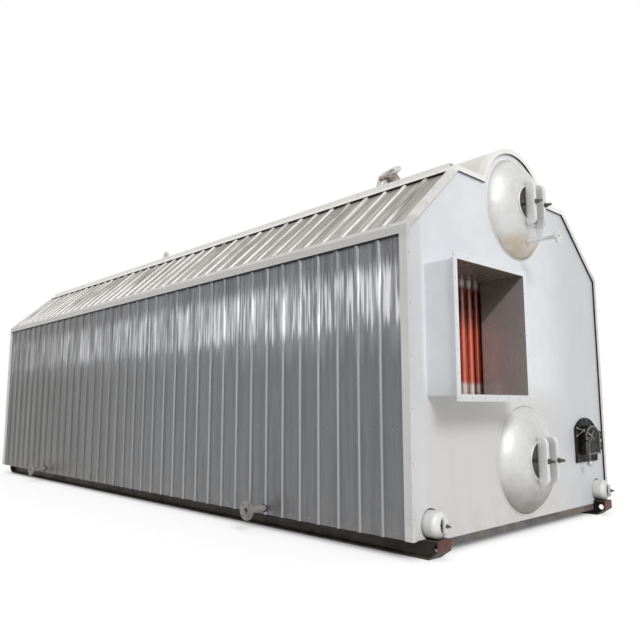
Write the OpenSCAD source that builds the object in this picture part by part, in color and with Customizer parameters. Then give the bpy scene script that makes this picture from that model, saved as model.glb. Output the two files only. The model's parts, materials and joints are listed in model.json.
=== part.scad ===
// Industrial water-tube boiler block: a ribbed, insulated casing on two skid runners,
// with a long steam drum under the roof, a lower drum, side headers, a flue outlet and a fire door.
// +Z up, +Y along the casing, the front end faces -Y. The origin is on the ground under the middle.

/* [Casing] */
// Width over the corner flashings
casing_w = 3200; // [3000:10:3400]
// Length from the front panel's face to the rear panel's face
casing_l = 8550; // [8000:25:9450]
// Height of the eave line of the wall sheets
eave_h = 2392; // [2330:2:2460]
// Height of the sheet line of the flat top
deck_h = 3012; // [2980:2:3080]
// Width of the flat top between the two roof slopes
deck_w = 1826; // [1700:2:1900]
// Thickness of the insulated side walls, roof and top
wall_t = 100; // [90:1:110]
// Thickness of the insulated end walls
end_wall_t = 110; // [95:1:125]
// Depth of the end walls' sheet edge, which the corner flashing wraps
end_edge = 52; // [40:1:60]
// How far an end wall's sheet hangs in front of its cross beam
apron_h = 32; // [20:1:45]
// Thickness of that sheet
apron_t = 4; // [3:1:6]

/* [Ribbed sheets] */
// Distance between ribs
rib_pitch = 225; // [180:5:300]
// Height of a rib
rib_h = 15; // [10:1:20]
// Width of a rib at its foot
rib_foot = 48; // [36:1:60]
// Width of a rib at its crown
rib_crown = 26; // [16:1:34]
// Distance of the first rib from the front panel's face
rib_first = 47; // [30:1:60]

/* [Flashings] */
// Thickness of the folded flashings
flash_t = 3; // [2:0.5:4]
// How far the corner flashing stands in front of an end panel
flash_proud = 20; // [12:1:30]
// Width of the corner flashing's leg over an end panel
flash_lip = 43; // [30:1:60]
// Width of each leg of the eave and ridge flashings
flash_leg = 62; // [50:1:80]
// Rise of the ridge flashing's cap over the roof sheets
ridge_up = 38; // [20:1:50]

/* [Drums] */
// Outside diameter of both drums
drum_od = 932; // [900:2:960]
// Wall thickness of both drums
drum_t = 16; // [12:1:22]
// Depth of the upper drum's axis below the sheet line of the flat top
drum_sink = 162; // [140:2:190]
// Height of the lower drum's axis
lower_z = 612; // [600:2:640]
// Length of the lower drum's straight shell
lower_shell_l = 4300; // [3500:50:5000]
// Straight skirt of a dished head
head_skirt = 40; // [25:1:60]
// Distance of a head's tangent line behind the panel's face
head_in = 45; // [30:1:60]
// Outside diameter of the lagging over the upper drum
lagging_od = 1110; // [1060:2:1160]

/* [Manholes] */
// Width of a drum's manhole
manhole_w = 420; // [400:2:430]
// Height of a drum's manhole
manhole_h = 360; // [350:2:380]
// Length of the manhole's inward lip
manhole_lip = 60; // [40:1:80]
// Thickness of a manhole cover's flange
cover_t = 20; // [14:1:28]
// Distance between the two yokes of a manhole
yoke_gap = 170; // [140:2:190]
// Thickness of a manhole yoke
yoke_t = 44; // [36:1:52]
// Length of a manhole yoke
yoke_l = 410; // [400:2:440]
// Depth of a manhole yoke
yoke_d = 88; // [70:1:100]
// Straight depth of a manhole yoke's ends, behind their rounding
yoke_foot = 20; // [12:1:30]
// Diameter of a manhole stud
stud_d = 24; // [18:1:30]
// How far a manhole stud stands out of its yoke
stud_out = 56; // [40:1:80]

/* [Headers] */
// Outside diameter of the side headers
header_od = 194; // [180:1:200]
// Wall thickness of the side headers
header_t = 8; // [6:0.5:12]
// Distance of the headers from the middle of the casing
header_x = 1375; // [1350:1:1378]
// How far a header's end stands out of the panel
header_out = 118; // [100:1:130]
// Straight skirt of a header's cap
cap_skirt = 22; // [15:1:40]
// Clearance of the panel's cut-out round a header
header_gap = 12; // [6:1:15]
// Width of a header's hand-hole
hand_w = 76; // [66:1:84]
// Height of a header's hand-hole
hand_h = 100; // [90:1:108]
// Length of the hand-hole's inward lip
hand_lip = 24; // [18:1:32]
// Thickness of a hand-hole yoke
hand_yoke_t = 26; // [20:1:30]
// Length of a hand-hole yoke
hand_yoke_l = 122; // [116:1:132]
// Depth of a hand-hole yoke
hand_yoke_d = 30; // [24:1:36]
// Straight depth of a hand-hole yoke's ends, behind their rounding
hand_yoke_foot = 10; // [6:1:14]
// Diameter of a hand-hole stud
hand_stud_d = 14; // [10:1:16]
// How far a hand-hole stud stands out of its yoke
hand_stud_out = 34; // [20:1:50]

/* [Tube bank] */
// Outside diameter of a tube
tube_d = 51; // [42:1:57]
// Distance between tubes across the casing
tube_pitch = 110; // [100:1:115]
// Tubes on each side of the middle in one row
tube_count = 9; // [5:1:9]
// Distance of the row behind the panel's face
tube_first = 195; // [180:1:400]
// Bend radius of a tube
tube_bend = 130; // [100:5:160]
// Angle of the innermost tube where it leaves a drum
tube_angle = 85; // [82:1:86]
// Angle between neighbouring tubes at a drum
tube_step = 10; // [9:0.5:10]

/* [Flue outlet] */
// Distance of the flue's middle from the middle of the casing
flue_x = 907; // [880:1:930]
// Clear width of the flue
flue_w = 933; // [860:1:960]
// Height of the flue's clear bottom
flue_z = 1151; // [1140:1:1200]
// Clear height of the flue
flue_h = 973; // [850:1:1000]
// How far the flue stands out of the panel
flue_out = 296; // [220:1:340]
// Plate thickness of the flue
flue_t = 6; // [4:1:10]
// Width of the flue's flange angle
flange_w = 50; // [40:1:60]
// Thickness of the flue's flange angle
flange_t = 6; // [4:1:8]
// Bolt holes along each side of the flange, corners included
flange_holes = 7; // [4:1:9]
// Diameter of the flange's bolt holes
flange_hole_d = 14; // [10:1:18]

/* [Nozzles] */
// Distance of the steam nozzle behind the panel's face
steam_y = 1076; // [900:2:1300]
// Lean of the steam nozzle from upright
steam_lean = 42; // [35:1:48]
// Distance of the steam nozzle's flange face from the drum's axis
steam_reach = 718; // [690:2:780]
// Outside diameter of the steam nozzle's pipe
steam_pipe = 133; // [114:1:140]
// Bore of the steam nozzle
steam_bore = 121; // [100:1:126]
// Diameter of the steam nozzle's flange
steam_flange = 250; // [240:1:285]
// Bolt circle of the steam nozzle's flange
steam_pcd = 210; // [200:1:220]
// Bolt holes of the steam nozzle's flange
steam_holes = 8; // [4:4:12]
// Thickness of the steam nozzle's flange
steam_flange_t = 24; // [18:1:30]
// Drop of a head nozzle below the upper drum's axis
head_nozzle_drop = 325; // [300:1:345]
// How far a head nozzle reaches out of the panel
head_nozzle_out = 406; // [360:1:460]
// Outside diameter of a head nozzle's pipe
head_nozzle_pipe = 34; // [27:1:42]
// Bore of a head nozzle
head_nozzle_bore = 27; // [20:1:32]
// Diameter of a head nozzle's flange
head_nozzle_flange = 115; // [105:1:125]
// Bolt circle of a head nozzle's flange
head_nozzle_pcd = 85; // [75:1:92]
// Distance of the front drains behind the panel's face
drain_front = 1630; // [1400:5:1900]
// Distance of the rear drains behind the panel's face
drain_rear = 6740; // [6300:5:7000]
// Height of the drains
drain_z = 192; // [185:1:215]
// How far a drain reaches out of the flashings
drain_out = 190; // [140:1:240]
// Outside diameter of a drain's pipe
drain_pipe = 57; // [48:1:60]
// Bore of a drain
drain_bore = 50; // [40:1:53]
// Diameter of a drain's flange
drain_flange = 165; // [150:1:175]
// Bolt circle of a drain's flange
drain_pcd = 125; // [110:1:130]
// Thickness of the small flanges
small_flange_t = 18; // [14:1:22]
// Diameter of the bolt holes in the nozzle flanges
bolt_hole = 18; // [14:1:20]
// Diameter of the bolt holes in the head nozzles' flanges
small_bolt_hole = 14; // [10:1:16]

/* [Lifting lugs] */
// Distance of the front lug behind the panel's face
lug_front = 1583; // [1450:5:1800]
// Distance of the rear lug behind the panel's face
lug_rear = 6249; // [6000:5:6600]
// Height of the lugs' tips over the lagging
lug_over = 185; // [160:1:240]
// Thickness of a lug
lug_t = 30; // [20:1:40]
// Width of a lug at the drum
lug_w = 260; // [200:5:300]
// Radius of a lug's round top
lug_r = 68; // [55:1:80]
// Diameter of a lug's eye
lug_eye = 55; // [40:1:70]

/* [Runners] */
// Height of the runners
runner_h = 140; // [136:1:150]
// Width of the runners' flanges
runner_w = 150; // [130:2:160]
// Distance of the runners from the middle of the casing
runner_x = 1365; // [1340:1:1370]
// How far the runners reach in front of the panels
runner_out = 115; // [105:1:140]
// Thickness of the runners' webs
runner_web = 12; // [8:1:16]
// Thickness of the runners' flanges
runner_flange = 12; // [8:1:18]
// Rise of the runners' upswept noses
nose_rise = 62; // [40:1:75]
// Length of the runners' upswept noses
nose_l = 90; // [80:1:95]
// Diameter of the tow holes
tow_hole = 50; // [40:1:54]
// Distance of the tow holes in front of the panels
tow_out = 42; // [36:1:46]
// Height of the cross beams under the end walls
sill_h = 90; // [70:2:110]
// Width of the cross beams
sill_w = 50; // [40:1:60]
// Thickness of the cross beams' steel
sill_t = 7; // [5:1:10]

/* [Fire door] */
// Distance of the door's middle from the middle of the casing
door_x = 1173; // [1150:1:1190]
// Height of the frame's bottom
frame_z = 524; // [500:1:560]
// Width of the frame
frame_w = 453; // [440:1:470]
// Height of the frame
frame_h = 427; // [415:1:450]
// Rise of the frame's arched top
frame_rise = 100; // [70:1:130]
// Thickness of the frame
frame_t = 18; // [12:1:22]
// Width of the port in the frame and wall
port_w = 250; // [220:1:262]
// Height of the port
port_h = 222; // [200:1:232]
// Rise of the port's arched top
port_rise = 54; // [40:1:65]
// Width of the leaf
leaf_w = 310; // [304:1:320]
// Height of the leaf
leaf_h = 280; // [272:1:292]
// Rise of the leaf's arched top
leaf_rise = 70; // [60:1:78]
// Depth of the hollow leaf
leaf_d = 52; // [46:1:60]
// Wall thickness of the leaf
leaf_t = 12; // [8:1:16]
// Gap between the frame and the leaf
leaf_gap = 12; // [11:1:16]
// Distance of the hinge axis from the leaf's edge
hinge_off = 45; // [38:1:48]
// Outside diameter of the hinge eyes
eye_d = 40; // [36:1:42]
// Height of a hinge eye
eye_h = 34; // [28:1:40]
// Diameter of the hinge pins
pin_d = 16; // [12:1:20]
// Height of the lower hinge above the frame's bottom
hinge_low = 110; // [90:1:130]
// Height of the upper hinge above the frame's bottom
hinge_high = 216; // [205:1:220]
// Distance of the hinge axis in front of the leaf's back
hinge_fwd = 32; // [30:1:36]
// Width of the frame's hinge arms
arm_w = 24; // [18:1:28]
// Distance of the latch pivot from the leaf's free edge
latch_in = 25; // [22:1:40]
// Height of the latch pivot above the frame's bottom
latch_z = 232; // [220:1:240]
// Length of the latch's hanging handle down to the ball's middle
handle_l = 240; // [220:1:270]
// Diameter of the handle's rod
handle_d = 14; // [10:1:18]
// Diameter of the handle's ball
ball_d = 56; // [46:1:64]
// Width of the latch's tongue
tongue_w = 16; // [12:1:22]
// Width of the rest under the latch's tongue
rest_w = 14; // [12:1:18]
// Height of the rest
rest_h = 14; // [10:1:15]
// How far the tongue reaches past its rest
tongue_over = 4; // [2:1:10]
// Wall of the latch's hub round its pin
hub_wall = 11; // [8:1:14]
// Thickness of the latch's hub
hub_h = 20; // [16:1:26]
// Height of the boss behind the latch's hub
boss_h = 6; // [5:1:10]
// How far the hinge pins and the latch pin stand out
pin_end = 6; // [3:1:10]

/* [Clearances] */
// Gap left between seated pieces
seat_gap = 0.3; // [0.2:0.1:0.6]
// Clearance between moving pieces
move_gap = 6; // [5:0.5:8]
// Radial running clearance at pins
pin_gap = 0.1; // [0.05:0.01:0.2]
// Gap between the latch's hub and its boss
hub_gap = 1; // [0.5:0.1:2]
// Radial clearance of a stud in its yoke
stud_gap = 1; // [0.5:0.1:2]
// Gap round a cover's raised face
cover_gap = 2; // [1:0.5:4]
// Gap in the lagging round the nozzle and the lugs
lagging_gap = 5; // [2:1:10]
// Gap in the side wall round a drain's pipe
sleeve_gap = 9; // [4:1:14]

/* [Hidden] */
$fn = 64;
arc_steps = 24;
oval_steps = 48;
// Reach of the half-plane cuts, and the overlap of a cut past a face
far = 20000;
cut = 1;
// Share of the plate by which a turned-in lip starts behind the head's surface
lip_sink = 0.1;
front_y = -casing_l / 2;
wall_y0 = front_y + end_edge + seat_gap;
wall_y1 = -wall_y0;
casing_z = runner_h;

// Sheet line: the flat pans between the ribs
pan_x = casing_w / 2 - rib_h - flash_t;
deck_x = deck_w / 2;
slope = atan2(deck_h - eave_h, pan_x - deck_x);
eave_mitre = (1 - sin(slope)) / cos(slope);
ridge_mitre = (1 - cos(slope)) / sin(slope);
slope_l = norm([pan_x - deck_x, deck_h - eave_h]);

upper_z = deck_h - drum_sink;
drum_r = drum_od / 2;
head_h = drum_od / 4;
lagging_r = lagging_od / 2;
lug_tip = upper_z + lagging_r + lug_over;
header_r = header_od / 2;
header_z = runner_h + header_r + seat_gap;
cap_h = header_od / 4;
seam_z = flue_z - flue_t - seat_gap;
port_z = frame_z + (frame_h - port_h) / 2;
leaf_z = frame_z + (frame_h - leaf_h) / 2;
leaf_y = -frame_t - leaf_gap;
hinge_x = door_x + leaf_w / 2 + hinge_off;
hinge_y = leaf_y - hinge_fwd;
latch_x = door_x - leaf_w / 2 + latch_in;
latch_y = leaf_y - leaf_d;
keeper_x = door_x - leaf_w / 2 - 2 * move_gap;
tongue_l = latch_x - keeper_x + rest_w + tongue_over;
hub_d = pin_d + 2 * hub_wall;

// Placing helpers: a flat shape in X and Z drawn out along Y, and one in Y and Z along X
module along_y(y0, y1) {
    translate([0, y1, 0]) rotate([90, 0, 0]) linear_extrude(y1 - y0) children();
}

module along_x(x0, x1) {
    translate([x0, 0, 0]) rotate([90, 0, 90]) linear_extrude(x1 - x0) children();
}

module at_front() {
    translate([0, front_y, 0]) children();
}

module at_rear() {
    mirror([0, 1, 0]) at_front() children();
}

module at_upper_axis() {
    translate([0, 0, upper_z]) children();
}

module at_lower_axis() {
    translate([0, 0, lower_z]) children();
}

// Corners of the casing's end outline, moved out by o from the sheet line
function outline(o, z0) = [
    [-pan_x - o, z0], [pan_x + o, z0],
    [pan_x + o, eave_h + o * eave_mitre], [deck_x + o * ridge_mitre, deck_h + o],
    [-deck_x - o * ridge_mitre, deck_h + o], [-pan_x - o, eave_h + o * eave_mitre]
];

// End outline with the arch of the lagging standing over the flat top
module end_outline(o, z0) {
    polygon(outline(o, z0));
    translate([0, upper_z]) circle(lagging_r - rib_h + o, $fn = 128);
}

module oval(w, h) {
    polygon([for (i = [0 : oval_steps - 1])
        [w / 2 * cos(360 * i / oval_steps), h / 2 * sin(360 * i / oval_steps)]]);
}

// Flat-bottomed outline with a segmental arch on top, its bottom middle at the origin
module arched(w, h, rise) {
    arch_r = (w * w / 4 + rise * rise) / (2 * rise);
    translate([-w / 2, 0]) square([w, h - rise]);
    intersection() {
        translate([-w / 2, h - rise - cut]) square([w, rise + 2 * cut]);
        translate([0, h - arch_r]) circle(arch_r, $fn = 128);
    }
}

// Section of a ribbed insulated sheet: Y along the row of ribs, height over the sheet line
function rib_centres() = [for (y = [front_y + rib_first : rib_pitch : -front_y])
    if (y > wall_y0 + rib_foot && y < wall_y1 - rib_foot) y];

function ribbed_section() = concat(
    [[wall_y1, 0], [wall_y1, -wall_t], [wall_y0, -wall_t], [wall_y0, 0]],
    [for (c = rib_centres()) each [
        [c - rib_foot / 2, 0], [c - rib_crown / 2, rib_h],
        [c + rib_crown / 2, rib_h], [c + rib_foot / 2, 0]]]
);

module ribbed_panel(length) {
    rotate([0, 0, 90]) linear_extrude(length) polygon(ribbed_section());
}

// Pipe along +Z with a drilled flange whose face is at its far end
module flanged_pipe(length, pipe, bore, flange, thick, pcd, holes, hole) {
    difference() {
        union() {
            cylinder(h = length, d = pipe);
            translate([0, 0, length - thick]) cylinder(h = thick, d = flange, $fn = 96);
        }
        translate([0, 0, -cut]) cylinder(h = length + 2 * cut, d = bore);
        for (i = [0 : holes - 1])
            rotate([0, 0, 360 * (i + 0.5) / holes])
                translate([pcd / 2, 0, length - thick - cut])
                    cylinder(h = thick + 2 * cut, d = hole, $fn = 24);
    }
}

// Drop of an ellipsoidal end's surface below its apex at radius r
function end_drop(od, r) = od / 4 * (1 - sqrt(1 - pow(2 * r / od, 2)));

// Half profile of an ellipsoidal end, twice as wide as deep on each side, with its skirt
function dished_profile(od, t, skirt) = concat(
    [[od / 2 - t, -skirt], [od / 2, -skirt]],
    [for (i = [0 : arc_steps]) [od / 2 * cos(90 * i / arc_steps), od / 4 * sin(90 * i / arc_steps)]],
    [for (i = [arc_steps : -1 : 0])
        [(od / 2 - t) * cos(90 * i / arc_steps), (od / 4 - t) * sin(90 * i / arc_steps)]]
);

// Y of the start of an opening's lip, hole being the larger width, and of its end, where the cover seats
function lip_start(od, t, hole) = -od / 4 + end_drop(od, hole / 2 + t) + lip_sink * t;
function lip_end(od, t, hole, lip) = lip_start(od, t, hole) + lip;

// Dished end facing -Y from its tangent line at Y 0, with an oval opening turned inwards
module dished_end(od, t, skirt, hole_w, hole_h, lip) {
    seat = lip_end(od, t, max(hole_w, hole_h), lip);
    difference() {
        union() {
            rotate([90, 0, 0]) rotate_extrude($fn = 128) polygon(dished_profile(od, t, skirt));
            along_y(seat - lip, seat) oval(hole_w + 2 * t, hole_h + 2 * t);
        }
        along_y(-od / 4 - cut, seat + cut) oval(hole_w, hole_h);
    }
}

// Drop of an end's surface at the edge of its opening, at sideways distance x
function edge_drop(od, hole_w, hole_h, x) =
    end_drop(od, norm([x, hole_h / 2 * sqrt(1 - pow(2 * x / hole_w, 2))]));

// Y of the flat back of a yoke that bridges the opening between the sideways distances x0 and x1
function yoke_y(od, hole_w, hole_h, x0, x1) = -od / 4 - seat_gap
    + min(edge_drop(od, hole_w, hole_h, x0), edge_drop(od, hole_w, hole_h, x1));
function manhole_back() =
    yoke_y(drum_od, manhole_w, manhole_h, (yoke_gap - yoke_t) / 2, (yoke_gap + yoke_t) / 2);
function hand_back() = yoke_y(header_od, hand_w, hand_h, 0, hand_yoke_t / 2);

// Yoke bar: flat back at Y 0, standing out to -Y with rounded outer corners, drilled for its stud
module yoke(t, l, d, foot, stud) {
    corner = d - foot;
    difference() {
        along_x(-t / 2, t / 2) intersection() {
            translate([-d, -l / 2]) square([d, l]);
            union() {
                translate([-foot, -l / 2]) square([foot, l]);
                translate([-d, corner - l / 2]) square([d, l - 2 * corner]);
                for (side = [-1, 1])
                    translate([-foot, side * (l / 2 - corner)]) circle(corner, $fn = 96);
            }
        }
        along_y(-d - cut, cut) circle(d = stud + 2 * stud_gap);
    }
}

// Inside cover: a flange behind the lip, a raised face in the opening and its studs
module oval_cover(hole_w, hole_h, lip_y, t, stud, stud_xs, stud_tip) {
    along_y(lip_y + seat_gap, lip_y + seat_gap + t) oval(hole_w + t, hole_h + t);
    along_y(lip_y - t, lip_y + seat_gap + cut) oval(hole_w - 2 * cover_gap, hole_h - 2 * cover_gap);
    for (x = stud_xs)
        translate([x, 0, 0]) along_y(stud_tip, lip_y) circle(d = stud);
}

module manhole_cover() {
    seat = lip_end(drum_od, drum_t, max(manhole_w, manhole_h), manhole_lip);
    oval_cover(manhole_w, manhole_h, seat, cover_t,
        stud_d, [-yoke_gap / 2, yoke_gap / 2], manhole_back() - yoke_d - stud_out);
}

module manhole_yokes() {
    for (x = [-yoke_gap / 2, yoke_gap / 2])
        translate([x, manhole_back(), 0]) yoke(yoke_t, yoke_l, yoke_d, yoke_foot, stud_d);
}

module drum_head() {
    dished_end(drum_od, drum_t, head_skirt, manhole_w, manhole_h, manhole_lip);
}

module head_nozzle_hole() {
    translate([0, 0, -head_nozzle_drop])
        along_y(-head_h, 0) circle(d = head_nozzle_pipe + 2 * seat_gap);
}

module upper_head() {
    difference() {
        drum_head();
        head_nozzle_hole();
    }
}

// Tangent line of a drum's head behind the panel
module at_head() {
    translate([0, head_in, 0]) children();
}

// Underside of a runner from nose to nose, at height h over its sole
runner_tip = front_y - runner_out;
function runner_sole(h) = [
    [runner_tip, nose_rise + h], [runner_tip + nose_l, h],
    [-runner_tip - nose_l, h], [-runner_tip, nose_rise + h]
];
function reversed(points) = [for (i = [len(points) - 1 : -1 : 0]) points[i]];

// I-section runner with an upswept nose, a tow hole and an end plate at both ends
module runner() {
    tip = runner_tip;
    difference() {
        union() {
            along_x(-runner_web / 2, runner_web / 2)
                polygon(concat(runner_sole(0), [[-tip, runner_h], [tip, runner_h]]));
            along_x(-runner_w / 2, runner_w / 2) {
                polygon(concat(runner_sole(0), reversed(runner_sole(runner_flange))));
                translate([tip, runner_h - runner_flange]) square([-2 * tip, runner_flange]);
                for (y = [tip, -tip - runner_flange])
                    translate([y, nose_rise]) square([runner_flange, runner_h - nose_rise]);
            }
        }
        for (y = [front_y - tow_out, -front_y + tow_out])
            translate([0, y, runner_h / 2])
                along_x(-runner_w / 2, runner_w / 2) circle(d = tow_hole);
    }
}

module runner_left() {
    color("#2e2a24") translate([-runner_x, 0, 0]) runner();
}

module runner_right() {
    color("#2e2a24") translate([runner_x, 0, 0]) runner();
}

// Channel under an end wall, open towards the inside, between the two runners
module cross_beam() {
    reach = runner_x - runner_w / 2;
    along_x(-reach, reach) translate([apron_t + seat_gap, runner_h - sill_h]) difference() {
        square([sill_w, sill_h]);
        translate([sill_t, sill_t]) square([sill_w, sill_h - 2 * sill_t]);
    }
}

module front_cross_beam() {
    color("#8a8a8a") at_front() cross_beam();
}

module rear_cross_beam() {
    color("#8a8a8a") at_rear() cross_beam();
}

module drain_axes() {
    for (y = [drain_front, drain_rear])
        translate([0, front_y + y, drain_z]) children();
}

// Ribbed side wall, mitred to the roof at the eave and drilled for the drains
module side_wall() {
    difference() {
        intersection() {
            translate([-pan_x, 0, casing_z]) ribbed_panel(eave_h + rib_h - casing_z);
            along_y(wall_y0 - cut, wall_y1 + cut) polygon([
                [-pan_x - rib_h, casing_z], [-pan_x + wall_t, casing_z],
                [-pan_x + wall_t, eave_h - wall_t * eave_mitre],
                [-pan_x - rib_h, eave_h + rib_h * eave_mitre]]);
        }
        drain_axes() along_x(-pan_x - rib_h - cut, -pan_x + wall_t + cut)
            circle(d = drain_pipe + 2 * sleeve_gap);
    }
}

module left_wall() {
    color("#74757a") side_wall();
}

module right_wall() {
    color("#74757a") mirror([1, 0, 0]) side_wall();
}

// Ribbed roof slope between the eave mitre and the ridge mitre
module roof_slope() {
    intersection() {
        translate([-pan_x, 0, eave_h]) rotate([0, 90 - slope, 0])
            translate([0, 0, -wall_t]) ribbed_panel(slope_l + 2 * wall_t);
        along_y(wall_y0 - cut, wall_y1 + cut) polygon([
            [-pan_x - rib_h, eave_h + rib_h * eave_mitre],
            [-pan_x + wall_t, eave_h - wall_t * eave_mitre],
            [-deck_x + wall_t * ridge_mitre, deck_h - wall_t],
            [-deck_x - rib_h * ridge_mitre, deck_h + rib_h]]);
    }
}

module left_roof() {
    color("#bebab4") roof_slope();
}

module right_roof() {
    color("#bebab4") mirror([1, 0, 0]) roof_slope();
}

// Flat top beside the lagging
module top_deck() {
    along_y(wall_y0, wall_y1) difference() {
        polygon([
            [-deck_x - rib_h * ridge_mitre, deck_h + rib_h], [0, deck_h + rib_h],
            [0, deck_h - wall_t], [-deck_x + wall_t * ridge_mitre, deck_h - wall_t]]);
        translate([0, upper_z]) circle(lagging_r + seat_gap, $fn = 128);
    }
}

module left_top() {
    color("#bebab4") top_deck();
}

module right_top() {
    color("#bebab4") mirror([1, 0, 0]) top_deck();
}

module lug_places() {
    for (y = [lug_front, lug_rear])
        translate([0, front_y + y, 0]) children();
}

module steam_axis() {
    at_upper_axis() translate([0, front_y + steam_y, 0]) rotate([0, -steam_lean, 0]) children();
}

// Lagging over the upper drum, arched above the flat top, cut for the nozzle and lugs
module drum_lagging() {
    color("#d8d8d6") difference() {
        along_y(wall_y0, wall_y1) difference() {
            translate([0, upper_z]) circle(lagging_r, $fn = 128);
            translate([0, upper_z]) circle(drum_r + seat_gap, $fn = 128);
            translate([-lagging_od, 0]) square([2 * lagging_od, deck_h - wall_t]);
        }
        steam_axis() cylinder(h = steam_reach, d = steam_pipe + 2 * lagging_gap);
        lug_places() translate([-lug_t / 2 - lagging_gap, -lug_w / 2 - lagging_gap, upper_z])
            cube([lug_t + 2 * lagging_gap, lug_w + 2 * lagging_gap, lagging_od]);
    }
}

// End wall: a sheet edge as wide as the casing and a thicker core between the side walls
module end_wall_blank(z0, z1) {
    along_y(0, end_edge) intersection() {
        end_outline(rib_h, casing_z);
        translate([-far, z0]) square([2 * far, z1 - z0]);
    }
    along_y(end_edge / 2, end_wall_t) intersection() {
        polygon(outline(-wall_t - seat_gap, casing_z));
        translate([-far, z0]) square([2 * far, z1 - z0]);
    }
}

// Lower edge of an end wall's sheet, hanging in front of the cross beam between the runners
module apron() {
    reach = runner_x - runner_w / 2 - seat_gap;
    along_y(0, apron_t) translate([-reach, casing_z - apron_h]) square([2 * reach, apron_h + cut]);
}

module upper_drum_hole() {
    at_upper_axis() along_y(-cut, end_wall_t + cut) circle(drum_r + seat_gap, $fn = 128);
}

module header_cut_outs() {
    for (x = [-header_x, header_x])
        translate([x, 0, header_z]) along_y(-cut, end_wall_t + cut) circle(header_r + header_gap);
}

module front_wall_lower() {
    color("#dfe1e3") at_front() difference() {
        union() {
            end_wall_blank(casing_z, seam_z);
            apron();
        }
        at_lower_axis() along_y(-cut, end_wall_t + cut) circle(drum_r + seat_gap, $fn = 128);
        header_cut_outs();
        translate([door_x, 0, port_z]) along_y(-cut, end_wall_t + cut) arched(port_w, port_h, port_rise);
    }
}

module front_wall_upper() {
    hole_w = flue_w + 2 * (flue_t + seat_gap);
    color("#dfe1e3") at_front() difference() {
        end_wall_blank(seam_z, far);
        upper_drum_hole();
        along_y(-cut, end_wall_t + cut) translate([-flue_x - hole_w / 2, seam_z - cut])
            square([hole_w, flue_h + 2 * (flue_t + seat_gap) + cut]);
    }
}

module rear_wall() {
    color("#dfe1e3") at_rear() difference() {
        union() {
            end_wall_blank(casing_z, far);
            apron();
        }
        upper_drum_hole();
        header_cut_outs();
    }
}

// Folded corner flashing round an end: one leg along the casing, one in front of the panel
module corner_flashing() {
    edge = rib_h + flash_t;
    difference() {
        along_y(-flash_proud, end_edge) end_outline(edge, casing_z);
        along_y(-flash_proud + flash_t, end_edge + cut) end_outline(rib_h, casing_z - cut);
        along_y(-flash_proud - cut, 0) end_outline(edge - flash_lip, casing_z - cut);
    }
}

module front_flashing() {
    color("#d9d8d2") at_front() corner_flashing();
}

module rear_flashing() {
    color("#d9d8d2") at_rear() corner_flashing();
}

// Folded strip over the outer edge of the roof sheets, at a corner of the outline
function eave_corner(o) = [-pan_x - o, eave_h + o * eave_mitre];
function ridge_corner(o) = [-deck_x - o * ridge_mitre, deck_h + o];
function up_slope(l) = [l * cos(slope), l * sin(slope)];

module eave_flashing() {
    outer = rib_h + flash_t;
    along_y(wall_y0, wall_y1) polygon([
        eave_corner(outer) - [0, flash_leg], eave_corner(outer), eave_corner(outer) + up_slope(flash_leg),
        eave_corner(rib_h) + up_slope(flash_leg), eave_corner(rib_h),
        eave_corner(rib_h) - [0, flash_leg - flash_t]]);
}

module left_eave_flashing() {
    color("#d9d8d2") eave_flashing();
}

module right_eave_flashing() {
    color("#d9d8d2") mirror([1, 0, 0]) eave_flashing();
}

// Folded strip over the upper edge of the roof sheets, raised to a cap along the flat top
module ridge_flashing() {
    outer = rib_h + flash_t;
    cap = ridge_corner(outer) + [0, ridge_up];
    along_y(wall_y0, wall_y1) polygon([
        ridge_corner(outer) - up_slope(flash_leg), ridge_corner(outer), cap, cap + [flash_leg, 0],
        cap + [flash_leg, -flash_t], cap + [flash_t, -flash_t], [cap[0] + flash_t, deck_h + rib_h],
        ridge_corner(rib_h), ridge_corner(rib_h) - up_slope(flash_leg)]);
}

module left_ridge_flashing() {
    color("#d9d8d2") ridge_flashing();
}

module right_ridge_flashing() {
    color("#d9d8d2") mirror([1, 0, 0]) ridge_flashing();
}

// Shell of a drum, open at both ends where the heads are welded on
module drum_shell(y0, y1) {
    along_y(y0, y1) difference() {
        circle(drum_r, $fn = 128);
        circle(drum_r - drum_t, $fn = 128);
    }
}

module upper_drum_shell() {
    y0 = front_y + head_in + head_skirt;
    color("#8f8f8c") difference() {
        at_upper_axis() drum_shell(y0, -y0);
        steam_axis() cylinder(h = drum_od, d = steam_bore);
    }
}

module upper_front_head() {
    color("#dcdcda") at_front() at_head() at_upper_axis() upper_head();
}

module upper_rear_head() {
    color("#dcdcda") at_rear() at_head() at_upper_axis() upper_head();
}

module lower_drum_shell() {
    y0 = front_y + head_in + head_skirt;
    color("#8f8f8c") at_lower_axis() drum_shell(y0, y0 + lower_shell_l);
}

module lower_front_head() {
    color("#dcdcda") at_front() at_head() at_lower_axis() drum_head();
}

// Plain closed head of the lower drum, inside the casing
module lower_rear_head() {
    y1 = front_y + head_in + 2 * head_skirt + lower_shell_l;
    color("#8f8f8c") translate([0, y1, lower_z]) rotate([-90, 0, 0])
        rotate_extrude($fn = 128) polygon(dished_profile(drum_od, drum_t, head_skirt));
}

module upper_front_cover() {
    color("#a9a9a6") at_front() at_head() at_upper_axis() manhole_cover();
}

module upper_rear_cover() {
    color("#a9a9a6") at_rear() at_head() at_upper_axis() manhole_cover();
}

module lower_cover() {
    color("#a9a9a6") at_front() at_head() at_lower_axis() manhole_cover();
}

module upper_front_yokes() {
    color("#dcdcda") at_front() at_head() at_upper_axis() manhole_yokes();
}

module upper_rear_yokes() {
    color("#dcdcda") at_rear() at_head() at_upper_axis() manhole_yokes();
}

module lower_yokes() {
    color("#dcdcda") at_front() at_head() at_lower_axis() manhole_yokes();
}

// Side header: a pipe through both end walls, closed by dished caps with hand-holes
module at_cap() {
    translate([0, -header_out + cap_h, header_z]) children();
}

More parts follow.
